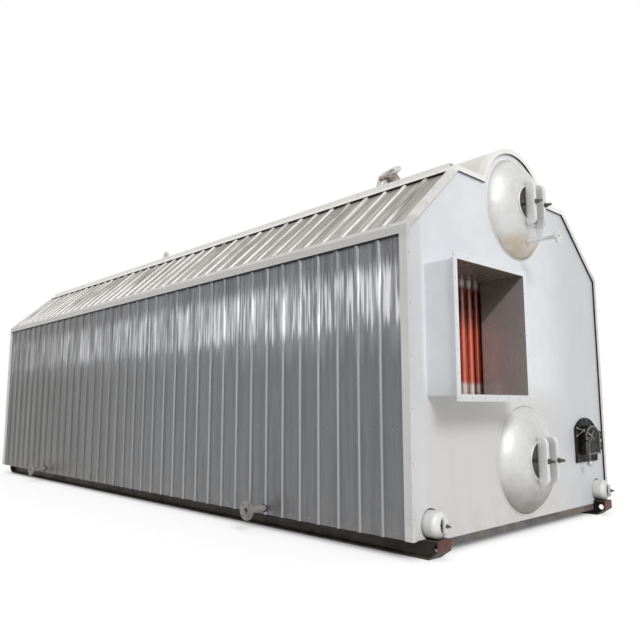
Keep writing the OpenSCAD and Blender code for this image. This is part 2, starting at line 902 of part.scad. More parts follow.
module header() {
    y0 = front_y - header_out + cap_h + cap_skirt;
    difference() {
        translate([0, 0, header_z]) along_y(y0, -y0) difference() {
            circle(header_r);
            circle(header_r - header_t);
        }
        drain_axes() along_x(-header_od, 0) circle(d = drain_bore);
    }
    at_front() at_cap() dished_end(header_od, header_t, cap_skirt, hand_w, hand_h, hand_lip);
    at_rear() at_cap() dished_end(header_od, header_t, cap_skirt, hand_w, hand_h, hand_lip);
}

module left_header() {
    color("#d4d4d2") translate([-header_x, 0, 0]) header();
}

module right_header() {
    color("#d4d4d2") mirror([1, 0, 0]) translate([-header_x, 0, 0]) header();
}

module at_hand_holes() {
    for (x = [-header_x, header_x]) translate([x, 0, 0]) {
        at_front() at_cap() children();
        at_rear() at_cap() children();
    }
}

module hand_hole_covers() {
    seat = lip_end(header_od, header_t, max(hand_w, hand_h), hand_lip);
    color("#a9a9a6") at_hand_holes()
        oval_cover(hand_w, hand_h, seat, header_t,
            hand_stud_d, [0], hand_back() - hand_yoke_d - hand_stud_out);
}

module hand_hole_yokes() {
    color("#dcdcda") at_hand_holes()
        translate([0, hand_back(), 0])
            yoke(hand_yoke_t, hand_yoke_l, hand_yoke_d, hand_yoke_foot, hand_stud_d);
}

// One end of a bent tube: a radial leg from the lower drum and the bend to upright at x
module tube_foot(x, angle) {
    turn = 90 - angle;
    tangent = tube_bend * tan(turn / 2);
    leg_start = drum_r + seat_gap;
    leg_end = x / cos(angle) - tangent - seat_gap;
    rotate([0, turn, 0]) translate([0, 0, leg_start])
        cylinder(h = leg_end - leg_start, d = tube_d, $fn = 32);
    translate([x - tube_bend, 0, x * tan(angle) + tangent]) rotate([90, 0, 0]) rotate([0, 0, -turn])
        rotate_extrude(angle = turn, $fn = 64) translate([tube_bend, 0]) circle(d = tube_d, $fn = 32);
}

// Tube from the lower drum to the upper drum, upright at x between its two bends
module bank_tube(x, angle) {
    rise = x * tan(angle) + tube_bend * tan((90 - angle) / 2) + seat_gap;
    at_lower_axis() tube_foot(x, angle);
    at_upper_axis() mirror([0, 0, 1]) tube_foot(x, angle);
    translate([x, 0, lower_z + rise]) cylinder(h = upper_z - lower_z - 2 * rise, d = tube_d, $fn = 32);
}

module tube_row() {
    translate([0, front_y + tube_first, 0])
        for (i = [0 : tube_count - 1])
            bank_tube(tube_pitch * (i + 0.5), tube_angle - tube_step * i);
}

module left_tubes() {
    color("#a5442f") mirror([1, 0, 0]) tube_row();
}

module right_tubes() {
    color("#a5442f") tube_row();
}

// Flue outlet: a plate duct through the front wall
module flue_section(o) {
    translate([-flue_x - flue_w / 2 - o, flue_z - o]) square([flue_w + 2 * o, flue_h + 2 * o]);
}

module flue_duct() {
    color("#cfd1d3") at_front() along_y(-flue_out + flange_t, end_wall_t) difference() {
        flue_section(flue_t);
        flue_section(0);
    }
}

// Angle-section flange round the flue's mouth, drilled along all four sides
module flue_flange() {
    step_x = (flue_w + flange_w) / (flange_holes - 1);
    step_z = (flue_h + flange_w) / (flange_holes - 1);
    color("#cfd1d3") at_front() difference() {
        union() {
            along_y(-flue_out, -flue_out + flange_t) difference() {
                flue_section(flange_w);
                flue_section(0);
            }
            along_y(-flue_out + flange_t / 2, -flue_out + flange_w) difference() {
                flue_section(flue_t + seat_gap + flange_t);
                flue_section(flue_t + seat_gap);
            }
        }
        translate([-flue_x - (flue_w + flange_w) / 2, 0, flue_z - flange_w / 2])
            for (i = [0 : flange_holes - 1], k = [0 : flange_holes - 1])
                if (i == 0 || k == 0 || i == flange_holes - 1 || k == flange_holes - 1)
                    translate([i * step_x, -flue_out - cut, k * step_z]) rotate([-90, 0, 0])
                        cylinder(h = flange_t + 2 * cut, d = flange_hole_d, $fn = 24);
    }
}

// Steam nozzle on the upper drum, leaning to the left
module steam_nozzle() {
    base = drum_r + seat_gap;
    color("#c9bdb6") steam_axis() translate([0, 0, base])
        flanged_pipe(steam_reach - base, steam_pipe, steam_bore, steam_flange, steam_flange_t,
            steam_pcd, steam_holes, bolt_hole);
}

// Small nozzle straight out of an upper head
module head_nozzle() {
    inner = head_in - head_h + end_drop(drum_od, head_nozzle_drop) + 2 * drum_t;
    translate([0, inner, upper_z - head_nozzle_drop]) rotate([90, 0, 0])
        flanged_pipe(inner + head_nozzle_out, head_nozzle_pipe, head_nozzle_bore, head_nozzle_flange,
            small_flange_t, head_nozzle_pcd, 4, small_bolt_hole);
}

module front_head_nozzle() {
    color("#d4d4d2") at_front() head_nozzle();
}

module rear_head_nozzle() {
    color("#d4d4d2") at_rear() head_nozzle();
}

// Drain nozzles from a header out through the side wall
module drains() {
    tip = casing_w / 2 + drain_out;
    difference() {
        drain_axes() translate([-header_x, 0, 0]) rotate([0, -90, 0])
            flanged_pipe(tip - header_x, drain_pipe, drain_bore, drain_flange, small_flange_t,
                drain_pcd, 4, bolt_hole);
        translate([-header_x, 0, header_z]) along_y(front_y, -front_y) circle(header_r + seat_gap);
    }
}

module left_drains() {
    color("#b9b7b2") drains();
}

module right_drains() {
    color("#b9b7b2") mirror([1, 0, 0]) drains();
}

// Lifting lugs: round-topped plates standing on the upper drum
module lifting_lugs() {
    eye_z = lug_tip - lug_r;
    color("#b5a89e") difference() {
        lug_places() along_x(-lug_t / 2, lug_t / 2) difference() {
            union() {
                translate([0, eye_z]) circle(lug_r);
                polygon([[-lug_w / 2, upper_z], [lug_w / 2, upper_z], [lug_w / 2, upper_z + lagging_r],
                    [lug_r, eye_z], [-lug_r, eye_z], [-lug_w / 2, upper_z + lagging_r]]);
            }
            translate([0, eye_z]) circle(d = lug_eye);
        }
        at_upper_axis() along_y(front_y, -front_y) circle(drum_r + seat_gap, $fn = 128);
    }
}

// Height above the ground of a hinge's lower eye, and of the leaf's eye over it
module at_hinges(dz) {
    for (z = [hinge_low, hinge_high]) translate([hinge_x, hinge_y, frame_z + z + dz]) children();
}

// Fire door frame: an arched cast plate with two hinge eyes, their pins and the latch's rest
module door_frame() {
    rest_top = frame_z + latch_z - tongue_w / 2 - move_gap;
    color("#232323") at_front() {
        difference() {
            translate([door_x, 0, frame_z]) along_y(-frame_t, 0) arched(frame_w, frame_h, frame_rise);
            translate([door_x, 0, port_z]) along_y(-frame_t - cut, cut) arched(port_w, port_h, port_rise);
        }
        at_hinges(0) {
            cylinder(h = eye_h, d = eye_d);
            cylinder(h = 2 * eye_h + move_gap + pin_end, d = pin_d);
            translate([-arm_w / 2, 0, 0]) cube([arm_w, -hinge_y - frame_t / 2, eye_h]);
        }
        translate([keeper_x - rest_w, latch_y - hub_h - boss_h, rest_top - rest_h])
            cube([rest_w, -latch_y + hub_h + boss_h - frame_t / 2, rest_h]);
    }
}

// Fire door leaf: a hollow arched box hung on the hinge pins, with a boss and pin for the latch
module door_leaf() {
    color("#262626") at_front() difference() {
        union() {
            translate([door_x, 0, leaf_z]) along_y(leaf_y - leaf_d, leaf_y)
                arched(leaf_w, leaf_h, leaf_rise);
            at_hinges(eye_h + move_gap) {
                cylinder(h = eye_h, d = eye_d);
                translate([-hinge_off - leaf_t / 2, -eye_h / 2, 0])
                    cube([hinge_off + leaf_t / 2, eye_h, eye_h]);
            }
            translate([latch_x, latch_y, frame_z + latch_z]) {
                along_y(-boss_h, leaf_t / 2) circle(d = hub_d);
                along_y(-boss_h - hub_gap - hub_h - pin_end, 0) circle(d = pin_d);
            }
        }
        translate([door_x, 0, leaf_z + leaf_t]) along_y(leaf_y - leaf_d + leaf_t, leaf_y + cut)
            arched(leaf_w - 2 * leaf_t, leaf_h - 2 * leaf_t, leaf_rise);
        at_hinges(eye_h + move_gap - cut) cylinder(h = eye_h + 2 * cut, d = pin_d + 2 * pin_gap);
    }
}

// Latch lever: a hub on the leaf's pin, a tongue over the rest and a hanging rod with a ball
module latch_lever() {
    back = latch_y - boss_h - hub_gap;
    mid = back - hub_h / 2;
    color("#3a3a3a") at_front() translate([latch_x, 0, frame_z + latch_z]) difference() {
        union() {
            along_y(back - hub_h, back) circle(d = hub_d);
            translate([-tongue_l, mid - hub_h / 4, -tongue_w / 2])
                cube([tongue_l, hub_h / 2, tongue_w]);
            translate([0, mid, -handle_l]) cylinder(h = handle_l, d = handle_d);
            translate([0, mid, -handle_l]) sphere(d = ball_d);
        }
        along_y(back - hub_h - cut, back + cut) circle(d = pin_d + 2 * pin_gap);
    }
}

runner_left();
runner_right();
front_cross_beam();
rear_cross_beam();
left_wall();
right_wall();
left_roof();
right_roof();
left_top();
right_top();
drum_lagging();
front_wall_lower();
front_wall_upper();
rear_wall();
front_flashing();
rear_flashing();
left_eave_flashing();
right_eave_flashing();
left_ridge_flashing();
right_ridge_flashing();
upper_drum_shell();
upper_front_head();
upper_rear_head();
lower_drum_shell();
lower_front_head();
lower_rear_head();
upper_front_cover();
upper_rear_cover();
lower_cover();
upper_front_yokes();
upper_rear_yokes();
lower_yokes();
left_header();
right_header();
hand_hole_covers();
hand_hole_yokes();
left_tubes();
right_tubes();
flue_duct();
flue_flange();
steam_nozzle();
front_head_nozzle();
rear_head_nozzle();
left_drains();
right_drains();
lifting_lugs();
door_frame();
door_leaf();
latch_lever();
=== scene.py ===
"""Looks of an industrial water-tube boiler block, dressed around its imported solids.

Everything is in metres in the frame of the solids: +Z up, +Y along the casing, the front end
with the flue and the fire door faces -Y, and the origin is on the ground under the middle.
"""
import json
import logging
import math
from dataclasses import dataclass
from enum import Enum

import bmesh
import bpy
import numpy as np
from mathutils import Matrix, Vector


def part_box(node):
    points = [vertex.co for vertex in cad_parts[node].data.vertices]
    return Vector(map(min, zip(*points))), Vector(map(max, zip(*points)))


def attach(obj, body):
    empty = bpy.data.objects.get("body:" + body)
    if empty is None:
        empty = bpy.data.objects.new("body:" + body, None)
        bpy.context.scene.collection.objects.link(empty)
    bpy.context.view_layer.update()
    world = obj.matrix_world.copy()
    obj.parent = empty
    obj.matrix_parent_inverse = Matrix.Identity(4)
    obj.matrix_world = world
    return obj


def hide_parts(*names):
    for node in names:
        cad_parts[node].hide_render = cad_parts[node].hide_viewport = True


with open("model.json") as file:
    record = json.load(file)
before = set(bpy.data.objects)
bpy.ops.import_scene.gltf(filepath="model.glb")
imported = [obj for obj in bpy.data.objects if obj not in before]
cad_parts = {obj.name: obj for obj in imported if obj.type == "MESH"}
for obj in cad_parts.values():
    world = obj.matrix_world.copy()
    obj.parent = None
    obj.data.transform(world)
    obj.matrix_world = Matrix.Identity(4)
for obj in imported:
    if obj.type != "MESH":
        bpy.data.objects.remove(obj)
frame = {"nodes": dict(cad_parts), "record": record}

LOG = logging.getLogger("boiler")
BOILER = "boiler"
FIRE_DOOR = "fire_door"
FULL_TURN = 2.0 * math.pi
# The cladding's ribs: their pitch, and how far the first one's middle lies behind the front panel's face.
RIB_PITCH = 0.225
RIB_FIRST = 0.047
# The straight skirt of the dished drum heads.
HEAD_SKIRT = 0.040
# Powers of superellipses: a strip with eased corners, and a sharp rectangle.
STRIP_POWER = 12.0
SHARP_POWER = 60.0
# How much a weld's bead swells at its ripples, and how much rougher full dust makes a finish.
WELD_SWELL = 0.16
DUST_ROUGHNESS = 0.3
# Points round a bead or a rim, and the fewest on each ripple of a weld.
ROUND_POINTS = 96
RIPPLE_POINTS = 4
# Points nearer than the first are merged, and edges shorter than the second are dissolved.
MERGE = 1e-6
DEGENERATE = 1e-7
Rgb = tuple[float, float, float]
Triple = tuple[float, float, float]


def even(scale: float) -> Triple:
    """The same stretch along all three axes."""
    return (scale, scale, scale)


def add_object(name: str, data: bpy.types.ID) -> bpy.types.Object:
    """Adds an object to the scene.

    Args:
        name: Name of the object.
        data: Its mesh, lamp or camera.

    Returns:
        The new object.
    """
    made = bpy.data.objects.new(name, data)
    bpy.context.scene.collection.objects.link(made)
    return made


class Coat(Enum):
    """The finishes that the boiler's surfaces have."""

    WALL = "wall_sheet"
    ROOF = "roof_sheet"
    PANEL = "end_panel"
    TRIM = "trim"
    LAGGING = "lagging_sheet"
    SILVER = "drum_silver"
    STEEL = "bare_steel"
    PRIMER = "red_primer"
    NOZZLE = "nozzle_paint"
    CASTING = "cast_black"
    RUNNER = "runner_paint"
    SILL = "sill_paint"
    LEVER = "lever_steel"
    LINER = "flue_liner"
    # Near-black foam, also used for dark strips that stand in for shadow.
    FOAM = "closure_foam"
    BOLT = "dark_bolt"
    HEADER = "header_white"


class Direction(Enum):
    """Unit vectors along the frame's axes, and one that leans from the rear towards the top, which sets the
    edge of the flue liner's painted shadow.
    """

    LEFT = (-1.0, 0.0, 0.0)
    RIGHT = (1.0, 0.0, 0.0)
    FRONT = (0.0, -1.0, 0.0)
    REAR = (0.0, 1.0, 0.0)
    UP = (0.0, 0.0, 1.0)
    DOWN = (0.0, 0.0, -1.0)
    REAR_AND_UP = (0.0, 0.662, 0.750)

    @property
    def array(self) -> np.ndarray:
        """The unit vector as an array."""
        return np.array(self.value)


@dataclass(frozen=True)
class Span:
    """Lowest and highest corner of a CAD node at rest."""

    low: np.ndarray
    high: np.ndarray

    @classmethod
    def of(cls, node: str) -> "Span":
        """Reads the node's box from the frame."""
        low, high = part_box(node)
        return cls(np.array(low), np.array(high))

    @property
    def middle(self) -> np.ndarray:
        """Centre of the box."""
        return (self.low + self.high) / 2.0

    @property
    def size(self) -> np.ndarray:
        """Edge lengths of the box."""
        return self.high - self.low

    def outer(self, end: Direction) -> float:
        """Y of the face towards the front or rear end."""
        return self.low[1] if end is Direction.FRONT else self.high[1]

    def inner(self, end: Direction) -> float:
        """Y of the face away from the front or rear end."""
        return self.high[1] if end is Direction.FRONT else self.low[1]


def grid_quads(rows: int, cols: int) -> np.ndarray:
    """Quads of a grid whose columns close into a ring.

    Args:
        rows: Number of grid rows.
        cols: Number of points in each row.

    Returns:
        Corner numbers, one row of four for each quad.
    """
    index = np.arange(rows * cols).reshape(rows, cols)
    after = np.roll(index, -1, axis=1)
    quads = np.stack([index[:-1], after[:-1], after[1:], index[1:]], axis=-1)
    return quads.reshape(-1, 4)


@dataclass
class Surface:
    """Points and quads of one or more closed shapes."""

    points: np.ndarray
    quads: np.ndarray

    @classmethod
    def from_rings(cls, rings: np.ndarray) -> "Surface":
        """Closes a grid of rings into a solid.

        The first and last ring are repeated, shrunk to their own centre, so both ends are capped.

        Args:
            rings: Grid of points, rings by points by three.

        Returns:
            The capped surface.
        """
        ends = [np.broadcast_to(ring.mean(axis=0), ring.shape)[None] for ring in (rings[0], rings[-1])]
        grid = np.concatenate([ends[0], rings, ends[1]])
        return cls(grid.reshape(-1, 3), grid_quads(grid.shape[0], grid.shape[1]))

    @classmethod
    def from_loop(cls, rings: np.ndarray) -> "Surface":
        """Joins the last ring of a grid to the first, as on a torus.

        Args:
            rings: Grid of points, rings by points by three.

        Returns:
            The closed surface.
        """
        grid = np.concatenate([rings, rings[:1]])
        return cls(grid.reshape(-1, 3), grid_quads(grid.shape[0], grid.shape[1]))

    @classmethod
    def join(cls, parts: list["Surface"]) -> "Surface":
        """Puts several surfaces into one.

        Args:
            parts: Surfaces to join.

        Returns:
            The joined surface.
        """
        counts = np.cumsum([0] + [len(part.points) for part in parts[:-1]])
        quads = [part.quads + count for part, count in zip(parts, counts)]
        return cls(np.concatenate([part.points for part in parts]), np.concatenate(quads))

    def moved(self, offset: np.ndarray) -> "Surface":
        """The surface carried by an offset."""
        return Surface(self.points + np.asarray(offset), self.quads)

    def turned(self, axis: np.ndarray) -> "Surface":
        """Turns the surface's own +Z to an axis, by the shortest rotation."""
        turn = Vector((0.0, 0.0, 1.0)).rotation_difference(Vector(axis)).to_matrix()
        return Surface(self.points @ np.array(turn).T, self.quads)

    def mirrored(self, signs: Triple) -> "Surface":
        """The surface with the coordinates' signs changed."""
        return Surface(self.points * np.array(signs), self.quads)

    def copies(self, places: np.ndarray) -> "Surface":
        """Repeats the surface at each place.

        Args:
            places: Offsets, one row of three for each copy.

        Returns:
            All the copies as one surface.
        """
        points = (places[:, None, :] + self.points[None]).reshape(-1, 3)
        starts = np.arange(len(places)) * len(self.points)
        quads = (starts[:, None, None] + self.quads[None]).reshape(-1, 4)
        return Surface(points, quads)


def unit_circle(count: int) -> tuple[np.ndarray, np.ndarray]:
    """Angles once round and their points on the unit circle.

    Args:
        count: Number of points.

    Returns:
        The angles, and rows of their cosine and sine.
    """
    angle = np.linspace(0.0, FULL_TURN, count, endpoint=False)
    return angle, np.stack([np.cos(angle), np.sin(angle)], axis=-1)


def upright(flat: np.ndarray, y: np.ndarray | float = 0.0) -> np.ndarray:
    """Stands points of X and Z up in the frame.

    Args:
        flat: Rows of X and Z.
        y: Y of all the points, or of each.

    Returns:
        Rows of three.
    """
    return np.stack([flat[:, 0], np.broadcast_to(y, len(flat)), flat[:, 1]], axis=-1)


def revolve(profile: np.ndarray, sides: int) -> Surface:
    """Solid of revolution about +Z.

    Point (i, a) lies at radius r_i and height h_i of the profile, turned by the angle a.

    Args:
        profile: Rows of radius and height, from the bottom to the top.
        sides: Points on each ring.

    Returns:
        The capped surface.
    """
    _, ring = unit_circle(sides)
    flat = profile[:, None, :1] * ring[None]
    height = np.broadcast_to(profile[:, None, 1:], flat.shape[:2] + (1,))
    return Surface.from_rings(np.concatenate([flat, height], axis=-1))


def carry(profile: np.ndarray, path: np.ndarray, out: np.ndarray, up: np.ndarray, closed: bool) -> Surface:
    """A closed profile carried along a path.

    Point (i, k) is path point i, plus the profile's first coordinate k along out_i and its second along up_i.

    Args:
        profile: Closed outline, one row of two for each point.
        path: Path points, one row of three each.
        out: Unit vector of the profile's first coordinate, one for all path points or one for each.
        up: Unit vector of the profile's second coordinate, likewise.
        closed: Whether the path runs back into its start.

    Returns:
        The swept surface, capped where the path is open.
    """
    out, up = np.broadcast_to(out, path.shape), np.broadcast_to(up, path.shape)
    rings = path[:, None] + profile[None, :, :1] * out[:, None] + profile[None, :, 1:] * up[:, None]
    return Surface.from_loop(rings) if closed else Surface.from_rings(rings)


def round_profile(width: float, height: float, power: float = 2.0, count: int = 12) -> np.ndarray:
    """Superellipse outline: each coordinate is a half size times a signed power of cosine or sine.

    Args:
        width: Size along the first coordinate.
        height: Size along the second coordinate.
        power: 2 is an ellipse, and larger is nearer to a rectangle.
        count: Number of points.

    Returns:
        The outline, one row of two for each point.
    """
    _, both = unit_circle(count)
    return np.sign(both) * np.abs(both) ** (2.0 / power) * np.array([width, height]) / 2.0


def straight_bar(start: np.ndarray, end: np.ndarray, out: np.ndarray, profile: np.ndarray) -> Surface:
    """A profile carried along a straight line.

    Args:
        start: First point of the line.
        end: Last point of the line.
        out: Unit vector of the profile's first coordinate.
        profile: Closed outline, one row of two for each point.

    Returns:
        The capped surface.
    """
    along = (end - start) / np.linalg.norm(end - start)
    return carry(profile, np.stack([start, end]), out, np.cross(along, out), closed=False)


def ring_bead(centre: np.ndarray, axis: np.ndarray, radius: float, width: float, ripples: int = 0) -> Surface:
    """A round bead along a circle: a torus whose tube swells and shrinks with the ripples of a weld.

    Args:
        centre: Middle of the circle.
        axis: Unit normal of the circle.
        radius: Radius of the circle.
        width: Width of the bead.
        ripples: Number of weld ripples round the circle, or 0 for a plain bead.

    Returns:
        The closed surface.
    """
    angle, ring = unit_circle(max(ROUND_POINTS, RIPPLE_POINTS * ripples))
    out = np.column_stack([ring, np.zeros(len(ring))])
    up = np.broadcast_to(Direction.UP.array, out.shape)
    swell = 1.0 + WELD_SWELL * np.cos(ripples * angle) * (ripples > 0)
    profile = round_profile(width, width, count=10)
    rings = radius * out[:, None] + swell[:, None, None] * (
        profile[None, :, :1] * out[:, None] + profile[None, :, 1:] * up[:, None])
    return Surface.from_loop(rings).turned(axis).moved(centre)


def hex_nut(across: float, height: float, bore: float) -> Surface:
    """Hexagon nut on +Z with chamfered corners.

    Each flat row is a hexagon in polar form, half the width across flats over the cosine of the angle
    from the middle of its flat, and the chamfered rows are circles.

    Args:
        across: Width across the flats.
        height: Height of the nut.
        bore: Diameter of the stud in it.

    Returns:
        The closed surface.
    """
    angle, ring = unit_circle(48)
    sixth = FULL_TURN / 6.0
    hexagon = across / 2.0 / np.cos((angle + sixth / 2.0) % sixth - sixth / 2.0)
    circle = np.full_like(angle, across / 2.0)
    inner = np.full_like(angle, bore / 2.0)
    low_chamfer, high_chamfer, crown = 0.12, 0.86, 0.98
    rows = [(inner, 0.0), (circle, 0.0), (hexagon, low_chamfer), (hexagon, high_chamfer),
            (circle * crown, 1.0), (inner, 1.0)]
    rings = [np.column_stack([radius[:, None] * ring, np.full(len(angle), share * height)])
             for radius, share in rows]
    return Surface.from_rings(np.stack(rings))


def washer(outside: float, thick: float) -> Surface:
    """Flat round washer on +Z, its edges eased by a fifth of its thickness.

    Args:
        outside: Outside diameter.
        thick: Thickness.

    Returns:
        The closed surface.
    """
    ease = thick / 5.0
    half = outside / 2.0
    profile = np.array([[half - ease, 0.0], [half, ease], [half, thick - ease], [half - ease, thick]])
    return revolve(profile, sides=32)


def screw_head(size: float) -> Surface:
    """Sheet screw on +Z: a thin sealing washer under a domed head, as one profile turned round.

    Args:
        size: Diameter of the washer.

    Returns:
        The closed surface.
    """
    shares = np.array([[1.0, 0.0], [1.0, 0.22], [0.56, 0.26], [0.52, 0.62], [0.30, 0.80]])
    return revolve(shares * size / 2.0, sides=8)


class PieceMaker:
    """Turns surfaces into Blender pieces that ride on the boiler's bodies."""

    def __init__(self, shop: "PaintShop") -> None:
        """Keeps the paint shop that gives the materials."""
        self.shop = shop

    def make(self, surface: Surface, name: str, coat: Coat, slot: Coat, body: str = BOILER,
             sharp_deg: float = 40.0) -> bpy.types.Object:
        """Makes one piece from a surface.

        Args:
            surface: Closed surface in the shared frame.
            name: Name of the piece.
            coat: Finish of the piece.
            slot: Record slot meant for the piece; not used.
            body: CAD body that it rides on.
            sharp_deg: Edges sharper than this stay sharp.

        Returns:
            The new object.
        """
        mesh = bpy.data.meshes.new(name)
        mesh.vertices.add(len(surface.points))
        mesh.vertices.foreach_set("co", surface.points.astype(np.float32).ravel())
        mesh.loops.add(surface.quads.size)
        mesh.loops.foreach_set("vertex_index", surface.quads.astype(np.int32).ravel())
        mesh.polygons.add(len(surface.quads))
        mesh.polygons.foreach_set("loop_start", np.arange(len(surface.quads), dtype=np.int32) * 4)
        mesh.update(calc_edges=True)
        self.close(mesh)
        mesh.shade_smooth()
        mesh.set_sharp_from_angle(angle=math.radians(sharp_deg))
        mesh.materials.append(self.shop.material(coat))
        piece = add_object(name, mesh)
        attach(piece, body)
        LOG.info("%s: %d faces on %s", name, len(mesh.polygons), body)
        return piece

    @staticmethod
    def close(mesh: bpy.types.Mesh) -> None:
        """Merges the points that meet at poles and seams and turns all faces outwards."""
        work = bmesh.new()
        work.from_mesh(mesh)
        bmesh.ops.remove_doubles(work, verts=work.verts, dist=MERGE)
        bmesh.ops.dissolve_degenerate(work, edges=work.edges, dist=DEGENERATE)
        bmesh.ops.recalc_face_normals(work, faces=work.faces)
        work.to_mesh(mesh)
        work.free()


class Wiring:
    """Places nodes in one tree and joins their sockets.

    A Mix node's sockets share their names, so they are found by number.
    """

    def __init__(self, tree: bpy.types.NodeTree) -> None:
        """Keeps the tree."""
        self.tree = tree

    @classmethod
    def fresh(cls, owner: bpy.types.ID) -> "Wiring":
        """Empties the own tree of a material or world.

        Args:
            owner: The material or world.

        Returns:
            The wiring of its tree.
        """
        owner.use_nodes = True
        owner.node_tree.nodes.clear()
        return cls(owner.node_tree)

    def node(self, kind: str, settings: dict | None = None, **inputs: object) -> bpy.types.Node:
        """Adds a node.

        Args:
            kind: Blender's node type.
            settings: Properties of the node.
            **inputs: Socket values or other nodes' outputs, with _ for each space in a socket's name.

        Returns:
            The new node.
        """
        made = self.tree.nodes.new(kind)
        for key, value in (settings or {}).items():
            setattr(made, key, value)
        for key, value in inputs.items():
            self.feed(made.inputs[key.replace("_", " ")], value)
        return made

    def feed(self, socket: bpy.types.NodeSocket, value: object) -> None:
        """Links a socket to another, or sets its value.

        Args:
            socket: Input socket.
            value: Output socket of another node, or a plain value.
        """
        if isinstance(value, bpy.types.NodeSocket):
            self.tree.links.new(value, socket)
        elif socket.type == "RGBA" and len(value) == 3:
            socket.default_value = (*value, 1.0)
        else:
            socket.default_value = value

    def math(self, operation: str, *values: object) -> bpy.types.NodeSocket:
        """Adds one Math node.

        Args:
            operation: Blender's name of the operation.
            *values: One, two or three values or sockets.

        Returns:
            The result's socket.
        """
        made = self.node("ShaderNodeMath", {"operation": operation})
        for socket, value in zip(made.inputs, values):
            self.feed(socket, value)
        return made.outputs[0]

    def vector(self, operation: str, first: object, second: object) -> bpy.types.Node:
        """Adds one Vector Math node.

        Args:
            operation: Blender's name of the operation.
            first: First vector or socket.
            second: Second vector or socket.

        Returns:
            The node, because its result is a vector or a value.
        """
        made = self.node("ShaderNodeVectorMath", {"operation": operation})
        self.feed(made.inputs[0], first)
        self.feed(made.inputs[1], second)
        return made

    def smooth(self, value: object, low: object, high: object, to_low: float = 0.0,
               to_high: float = 1.0) -> bpy.types.NodeSocket:
        """Smooth step of a value onto another range.

        Args:
            value: Value or socket.
            low: Value that gives to_low.
            high: Value that gives to_high.
            to_low: Lower end of the result.
            to_high: Upper end of the result.

        Returns:
            The result's socket.
        """
        made = self.node("ShaderNodeMapRange", {"interpolation_type": "SMOOTHSTEP"}, Value=value)
        for name, bound in (("From Min", low), ("From Max", high), ("To Min", to_low), ("To Max", to_high)):
            self.feed(made.inputs[name], bound)
        return made.outputs[0]

    def blend(self, share: object, first: object, second: object) -> bpy.types.NodeSocket:
        """Mix of two colours.

        Args:
            share: Share of the second colour.
            first: First colour or socket.
            second: Second colour or socket.

        Returns:
            The colour's socket.
        """
        made = self.node("ShaderNodeMix", {"data_type": "RGBA"})
        self.feed(made.inputs[0], share)
        self.feed(made.inputs[6], first)
        self.feed(made.inputs[7], second)
        return made.outputs[2]

    def noise(self, vector: object, scale: object, detail: float = 3.0) -> bpy.types.NodeSocket:
        """Value of a noise texture."""
        made = self.node("ShaderNodeTexNoise", Vector=vector, Scale=scale, Detail=detail)
        return made.outputs["Fac"]


